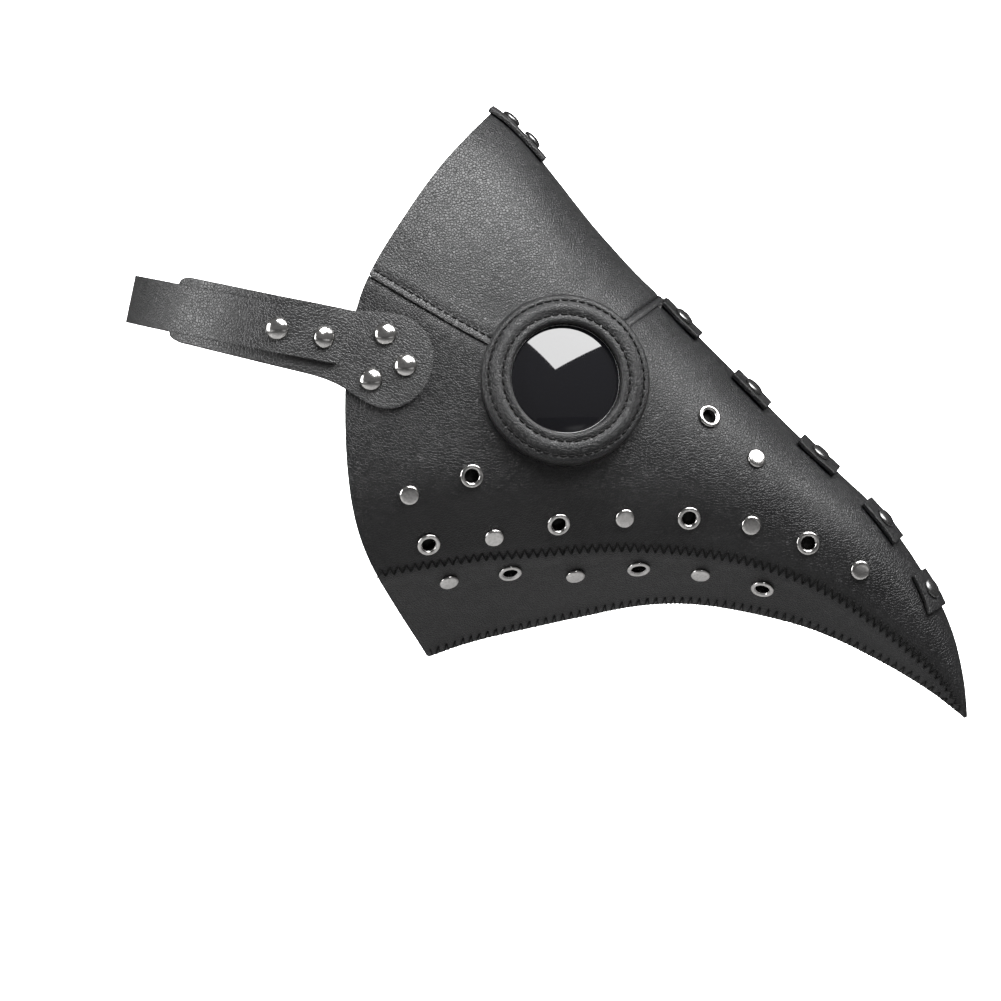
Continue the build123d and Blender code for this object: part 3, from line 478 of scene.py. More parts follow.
def thread_material(name, colour):
    mat, nt, bsdf, link = new_material(name)
    co = add(nt, "ShaderNodeTexCoord")
    ply = add(nt, "ShaderNodeTexWave", Scale=900.0, Distortion=2.0)
    link(co.outputs["Object"], ply.inputs["Vector"])
    tone = add(nt, "ShaderNodeMix", data_type="RGBA")
    link(ply.outputs["Fac"], tone.inputs[0])
    tone.inputs[6].default_value = (*colour, 1.0)
    tone.inputs[7].default_value = (*[c * 1.8 + 0.001 for c in colour], 1.0)
    link(tone.outputs[2], bsdf.inputs["Base Color"])
    b = add(nt, "ShaderNodeBump", Strength=0.5, Distance=0.0001)
    link(ply.outputs["Fac"], b.inputs["Height"])
    link(b.outputs[0], bsdf.inputs["Normal"])
    bsdf.inputs["Roughness"].default_value = 0.55
    bsdf.inputs["Specular IOR Level"].default_value = 0.16
    return mat


def gloss_material(name, colour, rough):
    mat, nt, bsdf, link = new_material(name)
    co = add(nt, "ShaderNodeTexCoord")
    dust = add(nt, "ShaderNodeTexNoise", Scale=1500.0, Detail=3.0)
    link(co.outputs["Object"], dust.inputs["Vector"])
    r = add(nt, "ShaderNodeMapRange")
    link(dust.outputs["Fac"], r.inputs[0])
    r.inputs[3].default_value = rough
    r.inputs[4].default_value = rough + 0.03
    link(r.outputs[0], bsdf.inputs["Roughness"])
    bsdf.inputs["Base Color"].default_value = (*colour, 1.0)
    bsdf.inputs["IOR"].default_value = 1.55
    return mat


# One black leather in copies: beak_leather has a darker base than brow_leather, painted shade for the less
# lit beak, and strap_leather a lighter base, painted light on the strap pieces.
BROW = leather("brow_leather", (0.008, 0.008, 0.0084), (0.012, 0.012, 0.0124), 0.32, 0.42, 1.15, 1.0, 0.42)
BEAK = leather("beak_leather", (0.006, 0.006, 0.0064), (0.009, 0.009, 0.0094), 0.31, 0.41, 1.1, 0.9, 0.33)
STRAP = leather("strap_leather", (0.011, 0.011, 0.0114), (0.016, 0.016, 0.0164), 0.36, 0.46, 1.2, 0.9)
RING = leather("ring_leather", (0.006, 0.006, 0.0064), (0.009, 0.009, 0.0094), 0.31, 0.41, 1.05, 0.9, 0.36)
NICKEL = metal("nickel", (0.50, 0.49, 0.48), 0.10, 0.10)
# A darker copy of the nickel, used on the ridge and crown tab domes and the lens rim: painted shade for
# metal that looks dark by the dark room it mirrors.
SHADED_NICKEL = metal("shaded_nickel", (0.16, 0.16, 0.16), 0.15)
THREAD = thread_material("black_thread", (0.0015, 0.0015, 0.0015))
LENS = gloss_material("lens_gloss", (0.004, 0.004, 0.005), 0.02)
PLASTIC = gloss_material("retainer_plastic", (0.02, 0.02, 0.02), 0.45)

# ------------------------------------------------------------------ panels
def coons(bottom, top, rear, front):
    """Grid between four (u, v) runs: bottom and top run forward, rear and front run upward."""
    n, m = len(bottom), len(rear)
    s = np.linspace(0.0, 1.0, n)[None, :, None]
    t = np.linspace(0.0, 1.0, m)[:, None, None]
    across = bottom[None] * (1.0 - t) + top[None] * t
    along = rear[:, None] * (1.0 - s) + front[:, None] * s
    corner = (bottom[0] * (1 - t) + top[0] * t) * (1 - s) + (bottom[-1] * (1 - t) + top[-1] * t) * s
    return across + along - corner


REAR = smooth_run(REAR_EDGE, 900)
SEAM_RUN = smooth_run(BROW_SEAM, 400)
# indices where the rear edge meets the brow seam and the jaw seam
split_brow = int(np.argmin(np.abs(REAR[:, 1] - 42.2)))
REAR_UV = np.stack(spot(REAR[:, 0], REAR[:, 1]), axis=1)
split_jaw = int(np.argmin(np.abs(REAR_UV[:, 1] - 1.0)))
SEAM_UV = np.stack(spot(SEAM_RUN[:, 0], SEAM_RUN[:, 1]), axis=1)
SEAM_UV[0] = REAR_UV[split_brow]
U_FRONT = ridge_u(99.0)
SEAM_UV[-1] = (U_FRONT, 0.0)


def resample(run, count):
    reach = lengths(run * np.array([1.0, 90.0]))
    want = np.linspace(0.0, reach[-1], count)
    return read_run(want, reach, run)


def forehead_grid():
    u_crown = ridge_u(26.2)
    rear = resample(REAR_UV[:split_brow + 1][::-1], 110)
    rear[-1] = (u_crown, 0.0)
    n = 190
    bottom = resample(SEAM_UV, n)
    top = np.stack([np.linspace(u_crown, U_FRONT, n), np.zeros(n)], axis=1)
    front = np.repeat([[U_FRONT, 0.0]], 110, axis=0)
    return coons(bottom, top, rear, front)


def side_grid():
    n, m = 330, 120
    rear = resample(REAR_UV[split_brow:split_jaw + 1][::-1], m)
    rear[0, 1] = 1.0
    ridge = np.stack([np.linspace(U_FRONT, U_END, 200), np.zeros(200)], axis=1)
    k = 165
    top = np.concatenate([resample(SEAM_UV, k), resample(ridge, n - k + 1)[1:]])
    bottom = np.stack([np.linspace(rear[0, 0], U_END, n), np.ones(n)], axis=1)
    # columns run across the beak: their feet follow their tops
    s = np.linspace(0.0, 1.0, n)
    bottom[:, 0] = rear[0, 0] + (U_END - rear[0, 0]) * np.interp(s, [0.0, 0.5, 1.0], [0.0, 0.47, 1.0])
    front = np.stack([np.full(m, U_END), np.linspace(1.0, 0.0, m)], axis=1)
    return coons(bottom, top, rear, front)


def jaw_grid():
    n, m = 300, 40
    rear = resample(REAR_UV[split_jaw:], m)
    rear[0, 1] = 1.0
    rear[-1, 1] = 2.0
    top = np.stack([np.linspace(rear[0, 0], U_END, n), np.ones(n)], axis=1)
    bottom = np.stack([np.linspace(rear[-1, 0], U_END, n), np.full(n, 2.0)], axis=1)
    front = np.stack([np.full(m, U_END), np.linspace(1.0, 2.0, m)], axis=1)
    return coons(top, bottom, rear, front)


def distance_to(points, run):
    """Nearest distance from each point to a run of points, and the run's index there."""
    best = np.full(points.shape[:-1], 1e9)
    index = np.zeros(points.shape[:-1], int)
    for i, p in enumerate(run):
        d = np.linalg.norm(points - p, axis=-1)
        closer = d < best
        best = np.where(closer, d, best)
        index = np.where(closer, i, index)
    return best, index


def seam_line(side):
    uv = resample(SEAM_UV, 500)
    return skin(uv[:, 0], uv[:, 1], side)


def even_line(uv, side, spacing):
    """Points at an even spacing along a (u, v) run, with their normals."""
    p = skin(uv[:, 0], uv[:, 1], side)
    reach = lengths(p)
    count = int(reach[-1] / spacing)
    want = np.linspace(0.0, reach[-1], count + 1)
    u = np.interp(want, reach, uv[:, 0])
    v = np.interp(want, reach, uv[:, 1])
    return skin(u, v, side), skin_normal(u, v, side), np.stack([u, v], axis=1)


def relief(p, side):
    """Height of the leather's soft shape over the plain skin, millimetres."""
    q = p * np.array([1.0, 1.0 if side < 0 else 0.9, 1.0])
    return 0.35 * noise(q, 34.0, 3) + 0.16 * noise(q, 13.0, 5) + 0.05 * noise(q, 5.0, 7)


JAW_LINE = {}
BROW_LINE = {}
KEEL_LINE = {}
for s_ in (-1.0, 1.0):
    uu = np.linspace(REAR_UV[split_jaw, 0], U_END - 1.0, 420)
    JAW_LINE[s_] = skin(uu, np.ones(420), s_)
    BROW_LINE[s_] = seam_line(s_)
    uu = np.linspace(REAR_UV[-1, 0], U_END - 1.0, 420)
    KEEL_LINE[s_] = skin(uu, np.full(420, 2.0), s_)


def shape_height(p, u, side, kind):
    """Height of a finished panel over the plain skin at points p."""
    h = relief(p, side)
    row = section(u)
    fade = np.clip(row[..., 6] / 14.0, 0.0, 1.0)
    if kind in ("side", "jaw"):
        d, i = distance_to(p, JAW_LINE[side][::4])
        gather = 0.5 + 0.5 * np.sin(i * 4 * 0.62)
        h = h - 0.55 * bump(d, 1.1) + 0.42 * bump(d - 5.5, 3.2) * (0.6 + 0.4 * gather)
    if kind == "jaw":
        d, i = distance_to(p, KEEL_LINE[side][::4])
        gather = 0.5 + 0.5 * np.sin(i * 4 * 0.7)
        h = h - 0.35 * bump(d, 1.2) + 0.30 * bump(d - 4.5, 2.6) * (0.6 + 0.4 * gather)
    if kind == "side":
        d, i = distance_to(p, BROW_LINE[side][::4])
        h = h - 0.45 * bump(d, 1.6) + 0.25 * bump(d - 6.0, 4.0) * (0.6 + 0.4 * np.sin(i * 4 * 0.31))
    if kind == "brow":
        d, i = distance_to(p, BROW_LINE[side][::4])
        stitch = 0.5 + 0.5 * np.cos(i * 4 * 0.9)
        h = h * np.clip(d / 4.0, 0.2, 1.0) + 0.85 * bump(d - 0.9, 1.3) - 0.42 * bump(d - 3.2, 0.7)
        h = h + 0.30 * bump(d - 6.5, 3.2) * (0.7 + 0.3 * stitch)
    return h * fade


def build_panel(grid, side, below, holes, kind, flip):
    """Panel mesh from a (u, v) grid, with seam shaping and holes for the hardware."""
    u, v = grid[..., 0], grid[..., 1]
    p = skin(u, v, side)
    n = skin_normal(u, v, side, below)
    q = p + n * shape_height(p, u, side, kind)[..., None]
    q[..., 1] = np.where(v < 1e-6, 0.0, q[..., 1])
    rows, cols = u.shape
    faces = grid_faces(rows, cols, flip)
    flat = q.reshape(-1, 3)
    centres = flat[np.array(faces)].mean(axis=1)
    keep = np.ones(len(faces), bool)
    for centre, radius in holes:
        keep &= np.linalg.norm(centres - centre, axis=1) > radius
    return q, [f for f, k in zip(faces, keep) if k]


def weld(obj):
    """Joins the doubled points along a panel's middle and collapsed edges."""
    bm = bmesh.new()
    bm.from_mesh(obj.data)
    bmesh.ops.remove_doubles(bm, verts=bm.verts, dist=WELD_DISTANCE * MM)
    loose = [w for w in bm.verts if not w.link_faces]
    bmesh.ops.delete(bm, geom=loose, context="VERTS")
    bmesh.ops.recalc_face_normals(bm, faces=bm.faces)
    bm.to_mesh(obj.data)
    bm.free()
    obj.data.shade_smooth()


def outward(obj, sample_direction):
    """Flips the faces if they point into the mask."""
    mesh = obj.data
    total = 0.0
    for poly in mesh.polygons:
        total += poly.normal.dot(sample_direction(poly.center)) * poly.area
    if total < 0.0:
        mesh.flip_normals()


def place(x, z, side, lift=0.0):
    u, v = spot(x, z)
    p = skin(u, v, side)
    n = skin_normal(u, v, side)
    return p + n * lift, n, np.array([n[2], 0.0, -n[0]])


def eye_frame(side):
    u, v = spot(*EYE_CENTRE)
    n = unit(np.array([EYE_AXIS[0], side * abs(EYE_AXIS[1]), EYE_AXIS[2]]))
    x = unit(np.array([n[2], 0.0, -n[0]]))
    return skin(u, v, side), n, x, np.cross(n, x)


EYE = {s: eye_frame(s) for s in (-1.0, 1.0)}


def away(c):
    """Rough outward direction of the mask at a point (metres)."""
    x = c.x / MM
    mid = np.interp(x, [-40, 100, 225], [-10, -35, -140])
    return Vector((0.0, c.y, c.z - mid * MM))


def panels():
    # forehead: both halves in one piece
    verts, faces = [], []
    for side in (-1.0, 1.0):
        q, f = build_panel(forehead_grid(), side, False, [(EYE[side][0], EYE_HOLE)], "brow", side > 0)
        base = len(verts)
        verts += list(q.reshape(-1, 3))
        faces += [tuple(base + k for k in face) for face in f]
    obj = make_mesh("forehead", verts, faces)
    weld(obj)
    outward(obj, away)
    give_thickness(obj, LEATHER - 0.2, 0.6, 3)
    finish_piece(obj, "mask", BROW, ("forehead_panel",))
    for side, name in SIDES:
        holes = [(EYE[side][0], EYE_HOLE)]
        holes += [(place(x, z, side)[0], EYELET_HOLE) for x, z in UPPER_EYELETS]
        q, f = build_panel(side_grid(), side, False, holes, "side", side < 0)
        obj = make_mesh("side_panel_leather_" + name, q.reshape(-1, 3), f)
        weld(obj)
        outward(obj, away)
        give_thickness(obj, LEATHER - 0.2, 0.35)
        finish_piece(obj, "mask", BEAK, ("side_panel_" + name,))
        holes = [(place(x, z, side)[0], EYELET_HOLE) for x, z in LOWER_EYELETS]
        q, f = build_panel(jaw_grid(), side, True, holes, "jaw", side < 0)
        obj = make_mesh("jaw_panel_leather_" + name, q.reshape(-1, 3), f)
        weld(obj)
        outward(obj, away)
        give_thickness(obj, LEATHER - 0.2, 0.35)
        finish_piece(obj, "mask", BEAK, ("jaw_panel_" + name,))


# ------------------------------------------------------------------ seams and thread
def zigzag(points, normals, axis, half, lift):
    """Stitches from one side of a seam to the other: a list of short arched paths."""
    reach = lengths(points)
    paths = []
    step = STITCH_PITCH / 2.0
    count = int(reach[-1] / step)
    last = None
    for i in range(count + 1):
        s = i * step
        p = np.array([np.interp(s, reach, points[:, k]) for k in range(3)])
        n = unit(np.array([np.interp(s, reach, normals[:, k]) for k in range(3)]))
        a = np.array([np.interp(s, reach, axis[:, k]) for k in range(3)])
        a = unit(a - n * np.dot(a, n))
        size = float(np.interp(s / reach[-1], [0.0, 0.25, 0.6, 0.9, 1.0], half))
        end = p + a * size * (1.0 if i % 2 else -1.2)
        if last is not None:
            b, bn = last
            path = []
            for t in (0.0, 0.12, 0.3, 0.5, 0.7, 0.88, 1.0):
                rise = lift * (1.0 - (2.0 * t - 1.0) ** 4) - 0.35 * (1.0 if t in (0.0, 1.0) else 0.0)
                path.append(b * (1 - t) + end * t + unit(bn * (1 - t) + n * t) * rise)
            paths.append(path)
        last = (end, n)
    return paths


def seam_threads():
    for side, name in SIDES:
        uv = np.stack([np.linspace(REAR_UV[split_jaw, 0] + 0.6, U_END - 3.0, 900), np.ones(900)], axis=1)
        p = skin(uv[:, 0], uv[:, 1], side)
        up = unit(skin(uv[:, 0], uv[:, 1] - 0.02, side) - p)
        down = unit(skin(uv[:, 0], uv[:, 1] + 0.02, side) - p)
        n1 = skin_normal(uv[:, 0], uv[:, 1], side)
        n2 = skin_normal(uv[:, 0], uv[:, 1], side, True)
        n = unit(n1 + n2)
        # the zigzag lies over the crease: its ends bend down on both panels
        paths = zigzag(p, n, up - down, [2.1, 2.6, 2.9, 2.6, 1.0], 0.42)
        bent = []
        for path in paths:
            out = []
            for c in path:
                k = int(np.argmin(np.linalg.norm(p - c, axis=1)))
                drop = np.linalg.norm((c - p[k]) - n[k] * np.dot(c - p[k], n[k]))
                cosine = np.clip(np.dot(n1[k], n2[k]), -1.0, 1.0)
                bend = math.tan(0.5 * math.acos(cosine))
                kinds = ("side", "jaw")
                high = max(float(shape_height(c[None], uv[k:k + 1, 0], side, kind)[0]) for kind in kinds)
                out.append(c + n[k] * (high - drop * bend * 0.85))
            bent.append(out)
        finish_piece(tubes("jaw_seam_thread_" + name, bent, 0.34), "mask", THREAD)
    uv = np.linspace(REAR_UV[-1, 0] + 0.6, U_END - 3.0, 900)
    p = skin(uv, np.full(900, 2.0), -1.0)
    p[:, 1] = 0.0
    left = unit(skin(uv, np.full(900, 1.97), 1.0) - p)
    right = unit(skin(uv, np.full(900, 1.97), -1.0) - p)
    n = -unit(left + right)
    paths = zigzag(p, n, left - right, [3.6, 4.2, 4.2, 3.2, 0.9], 0.25)
    bent = []
    for path in paths:
        out = []
        for c in path:
            k = int(np.argmin(np.linalg.norm(p - c, axis=1)))
            half = left[k] if c[1] > 0 else right[k]
            reach = abs(c[1] - p[k][1])
            on = p[k] + half * (reach / max(abs(half[1]), 0.2))
            lift = np.dot(c - p[k], n[k])
            outer = unit(n[k] + np.array([0, math.copysign(1.4, c[1]), 0]))
            high = float(shape_height(on[None], np.array([uv[k]]), math.copysign(1.0, c[1]), "jaw")[0])
            out.append(on + outer * (high + 0.32 * min(abs(c[1]) / 1.2, 1.0) + min(lift, 0.0)))
        bent.append(out)
    finish_piece(tubes("keel_seam_thread", bent, 0.30), "mask", THREAD)
    # straight stitches above the brow seam's folded edge
    for side, name in SIDES:
        uv = resample(SEAM_UV, 700)
        keep = []
        for i in range(len(uv)):
            c = skin(uv[i, 0], uv[i, 1], side)
            if np.linalg.norm(c - EYE[side][0]) > RING_RADIUS - 1.5:
                keep.append(i)
        keep = np.array(keep)
        parts = np.split(keep, np.where(np.diff(keep) > 1)[0] + 1)
        stitches = []
        for part in parts:
            run = uv[part]
            if len(run) < 8:
                continue
            p, n, puv = even_line(run, side, 3.3)
            tangent = unit(np.gradient(p, axis=0))
            up = unit(np.cross(n, tangent))
            up = np.where(up[:, 2:3] < 0, -up, up)
            row = p + up * 3.2
            row = row + n * (shape_height(row, puv[:, 0], side, "brow") + 0.25)[:, None]
            for i in range(len(row) - 1):
                a, b = row[i], row[i + 1]
                m = unit(n[i] + n[i + 1])
                a2, b2 = a * 0.86 + b * 0.14, a * 0.14 + b * 0.86
                path = [a2 - m * 0.25, a2 * 0.85 + b2 * 0.15 + m * 0.16, (a2 + b2) / 2 + m * 0.28]
                path += [a2 * 0.15 + b2 * 0.85 + m * 0.16, b2 - m * 0.25]
                stitches.append(path)
        finish_piece(tubes("brow_stitches_" + name, stitches, 0.30), "mask", THREAD)


# ------------------------------------------------------------------ eye windows
def skin_height(side, r, angle):
    """Height of the skin over the eye plane at polar position r, angle."""
    o, n, x, y = EYE[side]
    d = x * math.cos(angle) + y * math.sin(angle)
    target = o + d * r
    u, v = spot(target[0], target[2])
    for _ in range(6):
        p = skin(u, v, side)
        h = float(np.dot(p - o, n))
        want = target + n * h
        u, v = spot(want[0], want[2])
    return h


def eye_rings():
    t = RING_TOP
    w = WINDOW_RADIUS
    edge = RING_RADIUS
    for side, name in SIDES:
        o, n, x, y = EYE[side]
        steps = 220
        verts = []
        heights = [skin_height(side, edge + 0.2, 2 * math.pi * k / 44) for k in range(44)]
        for k in range(steps):
            a = 2.0 * math.pi * k / steps
            base = float(np.interp(k / steps * 44, range(45), heights + heights[:1]))
            pucker_out = math.cos(a * 57)
            pucker_in = math.cos(a * 46)
            sway = 0.12 * math.sin(3 * a + 1.0) + 0.08 * math.sin(7 * a + 2.0)
            profile = [
                (edge - 0.6, base - 0.6), (edge - 0.05, base + 0.1),
                (edge + 0.05, base * 0.6 + (t - 4.5) * 0.4), (edge, base * 0.25 + (t - 4.2) * 0.75),
                (edge - 0.25, t - 3.2), (edge - 0.8, t - 2.5), (edge - 1.7, t - 1.95),
                (edge - 2.4, t - 1.85 + 0.08 * pucker_out), (edge - 2.85, t - 1.95),
                (edge - 3.3, t - 1.65 + 0.12 * pucker_out), (edge - 4.0, t - 1.15 + 0.1 * pucker_out),
                (edge - 5.0, t - 0.65 + sway), (edge - 6.2, t - 0.4 + sway),
                (w + 5.6, t - 0.45 + sway), (w + 4.7, t - 0.7 + 0.10 * pucker_in), (w + 4.1, t - 0.95),
                (w + 3.7, t - 1.05), (w + 3.3, t - 0.95), (w + 2.7, t - 0.7 + 0.08 * pucker_in),
                (w + 1.8, t - 0.5),
                (w + 0.9, t - 0.7), (w + 0.25, t - 1.4), (w, t - 2.4), (w, 3.2), (w + 0.1, 2.9),
            ]
            d = x * math.cos(a) + y * math.sin(a)
            for r, h in profile:
                verts.append(o + d * r + n * h)
        m = len(profile)
        faces = grid_faces(steps, m, True)
        for j in range(m - 1):
            a0 = (steps - 1) * m + j
            faces.append((a0, j, j + 1, a0 + 1))
        ring = make_mesh("eye_ring_leather_" + name, verts, faces)
        if ring.data.polygons[12].normal.dot(Vector(n)) < 0:
            ring.data.flip_normals()
        finish_piece(ring, "mask", RING, ("eye_ring_" + name,))
        stitches = []
        for radius, height, count in ((edge - 2.85, t - 1.8, 57), (w + 3.7, t - 0.95, 46)):
            for i in range(count):
                a0 = 2 * math.pi * (i + 0.12) / count
                a1 = 2 * math.pi * (i + 0.88) / count
                path = []
                for k, f in enumerate((0.0, 0.15, 0.5, 0.85, 1.0)):
                    a = a0 + (a1 - a0) * f
                    rise = (-0.35, 0.12, 0.24, 0.12, -0.35)[k]
                    path.append(o + (x * math.cos(a) + y * math.sin(a)) * radius + n * (height + rise))
                stitches.append(path)
        finish_piece(tubes("eye_ring_stitches_" + name, stitches, 0.38), "mask", THREAD)
        # lens: dome with a soft shoulder, and the thin bright rim round it
        dome = [(0.0, 6.1)]
        for i in range(1, 25):
            f = i / 24.0
            dome.append(((w - 1.3) * f, 3.0 + 3.1 * (1.0 - f * f)))
        dome += [(w - 0.9, 2.9), (w - 0.4, 2.6), (w + 1.7, 2.5), (w + 1.7, 1.0), (w - 2.0, 1.0)]
        lens = revolve("lens_dome_" + name, [(o, n, x)], dome, 120)
        finish_piece(lens, "mask", LENS, ("lens_" + name,))
        rim = [(w - 0.6, 2.2), (w - 0.5, 2.85), (w - 0.3, 3.0), (w - 0.1, 2.85), (w - 0.05, 2.2)]
        band = revolve("lens_rim_" + name, [(o, n, x)], rim, 120)
        finish_piece(band, "mask", SHADED_NICKEL)


# ------------------------------------------------------------------ hardware
def flat_cap(r=4.2, h=1.3):
    return [(0.0, h + 0.05), (r * 0.4, h + 0.04), (r - 1.2, h), (r - 0.75, h - 0.08), (r - 0.35, h - 0.32),
            (r - 0.12, h - 0.62), (r, h - 0.95), (r, 0.12), (r - 0.1, -0.3)]


def dome_cap(r=4.75, h=2.9):
    pts = [(0.0, h)]
    for i in range(1, 12):
        a = math.radians(90.0 - 7.4 * i)
        pts.append((r * math.cos(a), 0.45 + (h - 0.45) * math.sin(a)))
    return pts + [(r, 0.45), (r + 0.02, 0.2), (r - 0.15, -0.25)]


def eyelet_profile(b=3.0, r=5.0):
    pts = [(b, -2.6), (b, 0.0), (b + 0.02, 0.5)]
    for i in range(0, 9):
        a = math.pi - math.pi * i / 8.0
        pts.append((b + 1.0 + 0.98 * math.cos(a), 0.38 + 0.72 * math.sin(a)))
    return pts + [(r, 0.15), (r - 0.1, -0.3)]


def hardware():
    for side, name in SIDES:
        rows = (("upper_rivets", UPPER_RIVETS), ("lower_rivets", LOWER_RIVETS))
        for row, spots in rows:
            obj = revolve(row + "_caps_" + name, [place(x, z, side, CAP_LIFT) for x, z in spots], flat_cap())
            finish_piece(obj, "mask", NICKEL, ("%s_%s" % (row, name),))
        rows = (("upper_eyelets", UPPER_EYELETS), ("lower_eyelets", LOWER_EYELETS))
        for row, spots in rows:
            places = [place(x, z, side, CAP_LIFT) for x, z in spots]
            obj = revolve(row + "_rolled_" + name, places, eyelet_profile(), 48)
            finish_piece(obj, "mask", NICKEL, ("%s_%s" % (row, name),))
            # Painted shade: a black disc under each eyelet's hole stands for the dark inside of the mask
            # seen through it.
            hole_shade_disc = [(0.0, -2.95), (4.2, -2.95), (4.2, -3.1), (0.0, -3.1)]
            obj = revolve(row + "_hole_shade_" + name, places, hole_shade_disc, 24)
            finish_piece(obj, "mask", THREAD)
        places = [place(x, z, side, 2.05) for x, z in PADDLE_RIVETS]
        obj = revolve("paddle_domes_" + name, places, dome_cap(), 48)
        finish_piece(obj, "mask", NICKEL, ("paddle_rivets_" + name,))
        paint(NODES["lens_retainer_" + name], PLASTIC)
    for node in NODES:
        if "washer" in node:
            paint(NODES[node], NICKEL)


# ------------------------------------------------------------------ tabs on the ridge
def ridge_frame(x):
    u = ridge_u(x)
    n = skin_normal(u, 0.0)
    n = unit(np.array([n[0], 0.0, n[2]]))
    return skin(u, 0.0), n, np.array([n[2], 0.0, -n[0]])


def on_ridge(x0, a, y):
    """Skin points at distance a along the ridge frame at x0 and sideways y; and normals."""
    o, n, t = ridge_frame(x0)
    a = np.asarray(a, float)
    y = np.asarray(y, float)
    lo = np.full(a.shape, max(ridge_u(x0) - 30.0, 0.0))
    hi = np.full(a.shape, min(ridge_u(x0) + 30.0, U_END))
    for _ in range(36):
        u = 0.5 * (lo + hi)
        row = section(u)
        v0 = np.zeros(a.shape)
        v1 = np.full(a.shape, 0.6)
        for _ in range(30):
            v = 0.5 * (v0 + v1)
            less = outline(row, v)[1] < np.abs(y)
            v0 = np.where(less, v, v0)
            v1 = np.where(less, v1, v)
        p = skin(u, v, -1.0)
        ahead = (p - o) @ t > a
        hi = np.where(ahead, u, hi)
        lo = np.where(ahead, lo, u)
    p[..., 1] = y
    m = skin_normal(u, v, -1.0)
    m[..., 1] = np.abs(m[..., 1]) * np.sign(y)
    return p, m


def ridge_tabs():
    for i, (x0, x1) in enumerate(RIDGE_TABS + [CROWN_TAB]):
        crown = i == len(RIDGE_TABS)
        half = 12.3 if crown else TAB_HALF_WIDTH + TAB_EXTRA
        xm = 0.5 * (x0 + x1)
        length = float(np.linalg.norm(skin(ridge_u(x1), 0.0) - skin(ridge_u(x0), 0.0)))
        na, ny = 31, 41
        a = np.linspace(-length / 2.0, length / 2.0, na)
        y = np.linspace(-half, half, ny)
        A, Y = np.meshgrid(a, y, indexing="ij")
        p, n = on_ridge(xm, A, Y)
        rng = random.Random(i)
        curl = 0.25 + 0.35 * (np.abs(Y) / half) ** 3 + 0.12 * np.sin(A * 0.3 + rng.random() * 6.0)
        dent = -0.28 * bump(np.hypot(A, np.abs(Y) - TAB_RIVET_Y - TAB_RIVET_EXTRA), 5.5)
        if crown:
            dent = -0.2 * bump(np.hypot(A, Y), 8.0)
        p = p + n * (2.05 + curl + dent)[..., None]
        name = "crown_tab_leather" if crown else "ridge_tab_leather_%d" % (i + 1)
        obj = make_mesh(name, p.reshape(-1, 3), grid_faces(na, ny))
        outward(obj, away)
        give_thickness(obj, 1.85, 0.35, 3)
        node = "crown_tab" if crown else "ridge_tab_%d" % (i + 1)
        finish_piece(obj, "mask", STRAP if crown else RING, (node,))
    places = []
    for x0, x1 in RIDGE_TABS:
        for y in (-TAB_RIVET_Y - TAB_RIVET_EXTRA, TAB_RIVET_Y + TAB_RIVET_EXTRA):
            p, n = on_ridge(0.5 * (x0 + x1), np.array([0.0]), np.array([y]))
            places.append((p[0] + n[0] * 2.3, n[0], np.array([n[0][2], 0.0, -n[0][0]])))
    obj = revolve("ridge_tab_domes", places, dome_cap(4.5, 1.8), 48)
    finish_piece(obj, "mask", SHADED_NICKEL, ("ridge_tab_rivets",))
    places = []
    for x in CROWN_RIVETS:
        o, n, t = ridge_frame(x)
        places.append((o + n * 2.3, n, t))
    obj = revolve("crown_tab_domes", places, dome_cap(4.3, 2.0), 48)
    finish_piece(obj, "mask", SHADED_NICKEL, ("crown_tab_rivets",))


# ------------------------------------------------------------------ straps
ACROSS = np.array([math.sin(RISE), 0.0, math.cos(RISE)])


def head_curve():
    points = []
    for i in range(61):
        a = math.radians(90.0 * i / 60.0)
        points.append((HEAD_TURN_X - HEAD_BACK * math.cos(a), HEAD_SIDE * math.sin(a)))
    for i in range(1, 41):
        x = HEAD_TURN_X + 1.6 * i
        points.append((x, HEAD_SIDE - TEMPLE_DRAW_IN * (x - HEAD_TURN_X) ** 2))
    return np.array(points)


HALF_PATH = head_curve()
STEP = np.stack([HALF_PATH[:, 0] / math.cos(RISE), HALF_PATH[:, 1]], axis=1)
REACH = lengths(STEP)


def wrap_base(s, q):
    s, q = np.broadcast_arrays(np.asarray(s, float), np.asarray(q, float))
    side = np.where(s >= 0.0, 1.0, -1.0)
    x = np.interp(np.abs(s), REACH, HALF_PATH[:, 0])
    y = np.interp(np.abs(s), REACH, HALF_PATH[:, 1])
    z = STRAP_FRONT[1] - (x - STRAP_FRONT[0]) * math.tan(RISE)
    px = x + ACROSS[0] * q
    pz = z + ACROSS[2] * q
    b = np.clip((px + 62.0) / 36.0, 0.0, 1.0)
    b = b * b * (3.0 - 2.0 * b)
    u, v = spot(px, pz)
    y = (1.0 - b) * y + b * np.abs(skin(u, v)[..., 1])
    return np.stack([px, side * y, pz], axis=-1)


def wrap_normal(s, q):
    d = 0.8
    along = wrap_base(np.asarray(s) + d, q) - wrap_base(np.asarray(s) - d, q)
    over = wrap_base(s, np.asarray(q) + d) - wrap_base(s, np.asarray(q) - d)
    return unit(np.cross(over, along))


def wrap(s, q, h):
    return wrap_base(s, q) + wrap_normal(s, q) * np.asarray(h)[..., None]


def s_at(x, side):
    return side * float(np.interp(x, HALF_PATH[:, 0], REACH))


PADDLE_TOP = 1.9
STRAP_LOW = PADDLE_TOP + 0.15
STRAP_TOP = STRAP_LOW + LEATHER
BAR_RADIUS = 1.3
BAR_HEIGHT = STRAP_TOP + BAR_RADIUS + 0.25
BAR_GAP = 18.5
S_BAR = s_at(-84.0, 1.0)
S_FAR = S_BAR - BAR_GAP
S_KEEPER = S_BAR + 23.0
RAISED_MID = 4.9
KEEPER_AT = S_KEEPER - 1.2
KEPT_MID = RAISED_MID + LEATHER + 0.3
HOLES_BEHIND = (S_FAR - 14.0, S_FAR - 28.0, S_FAR - 42.0)


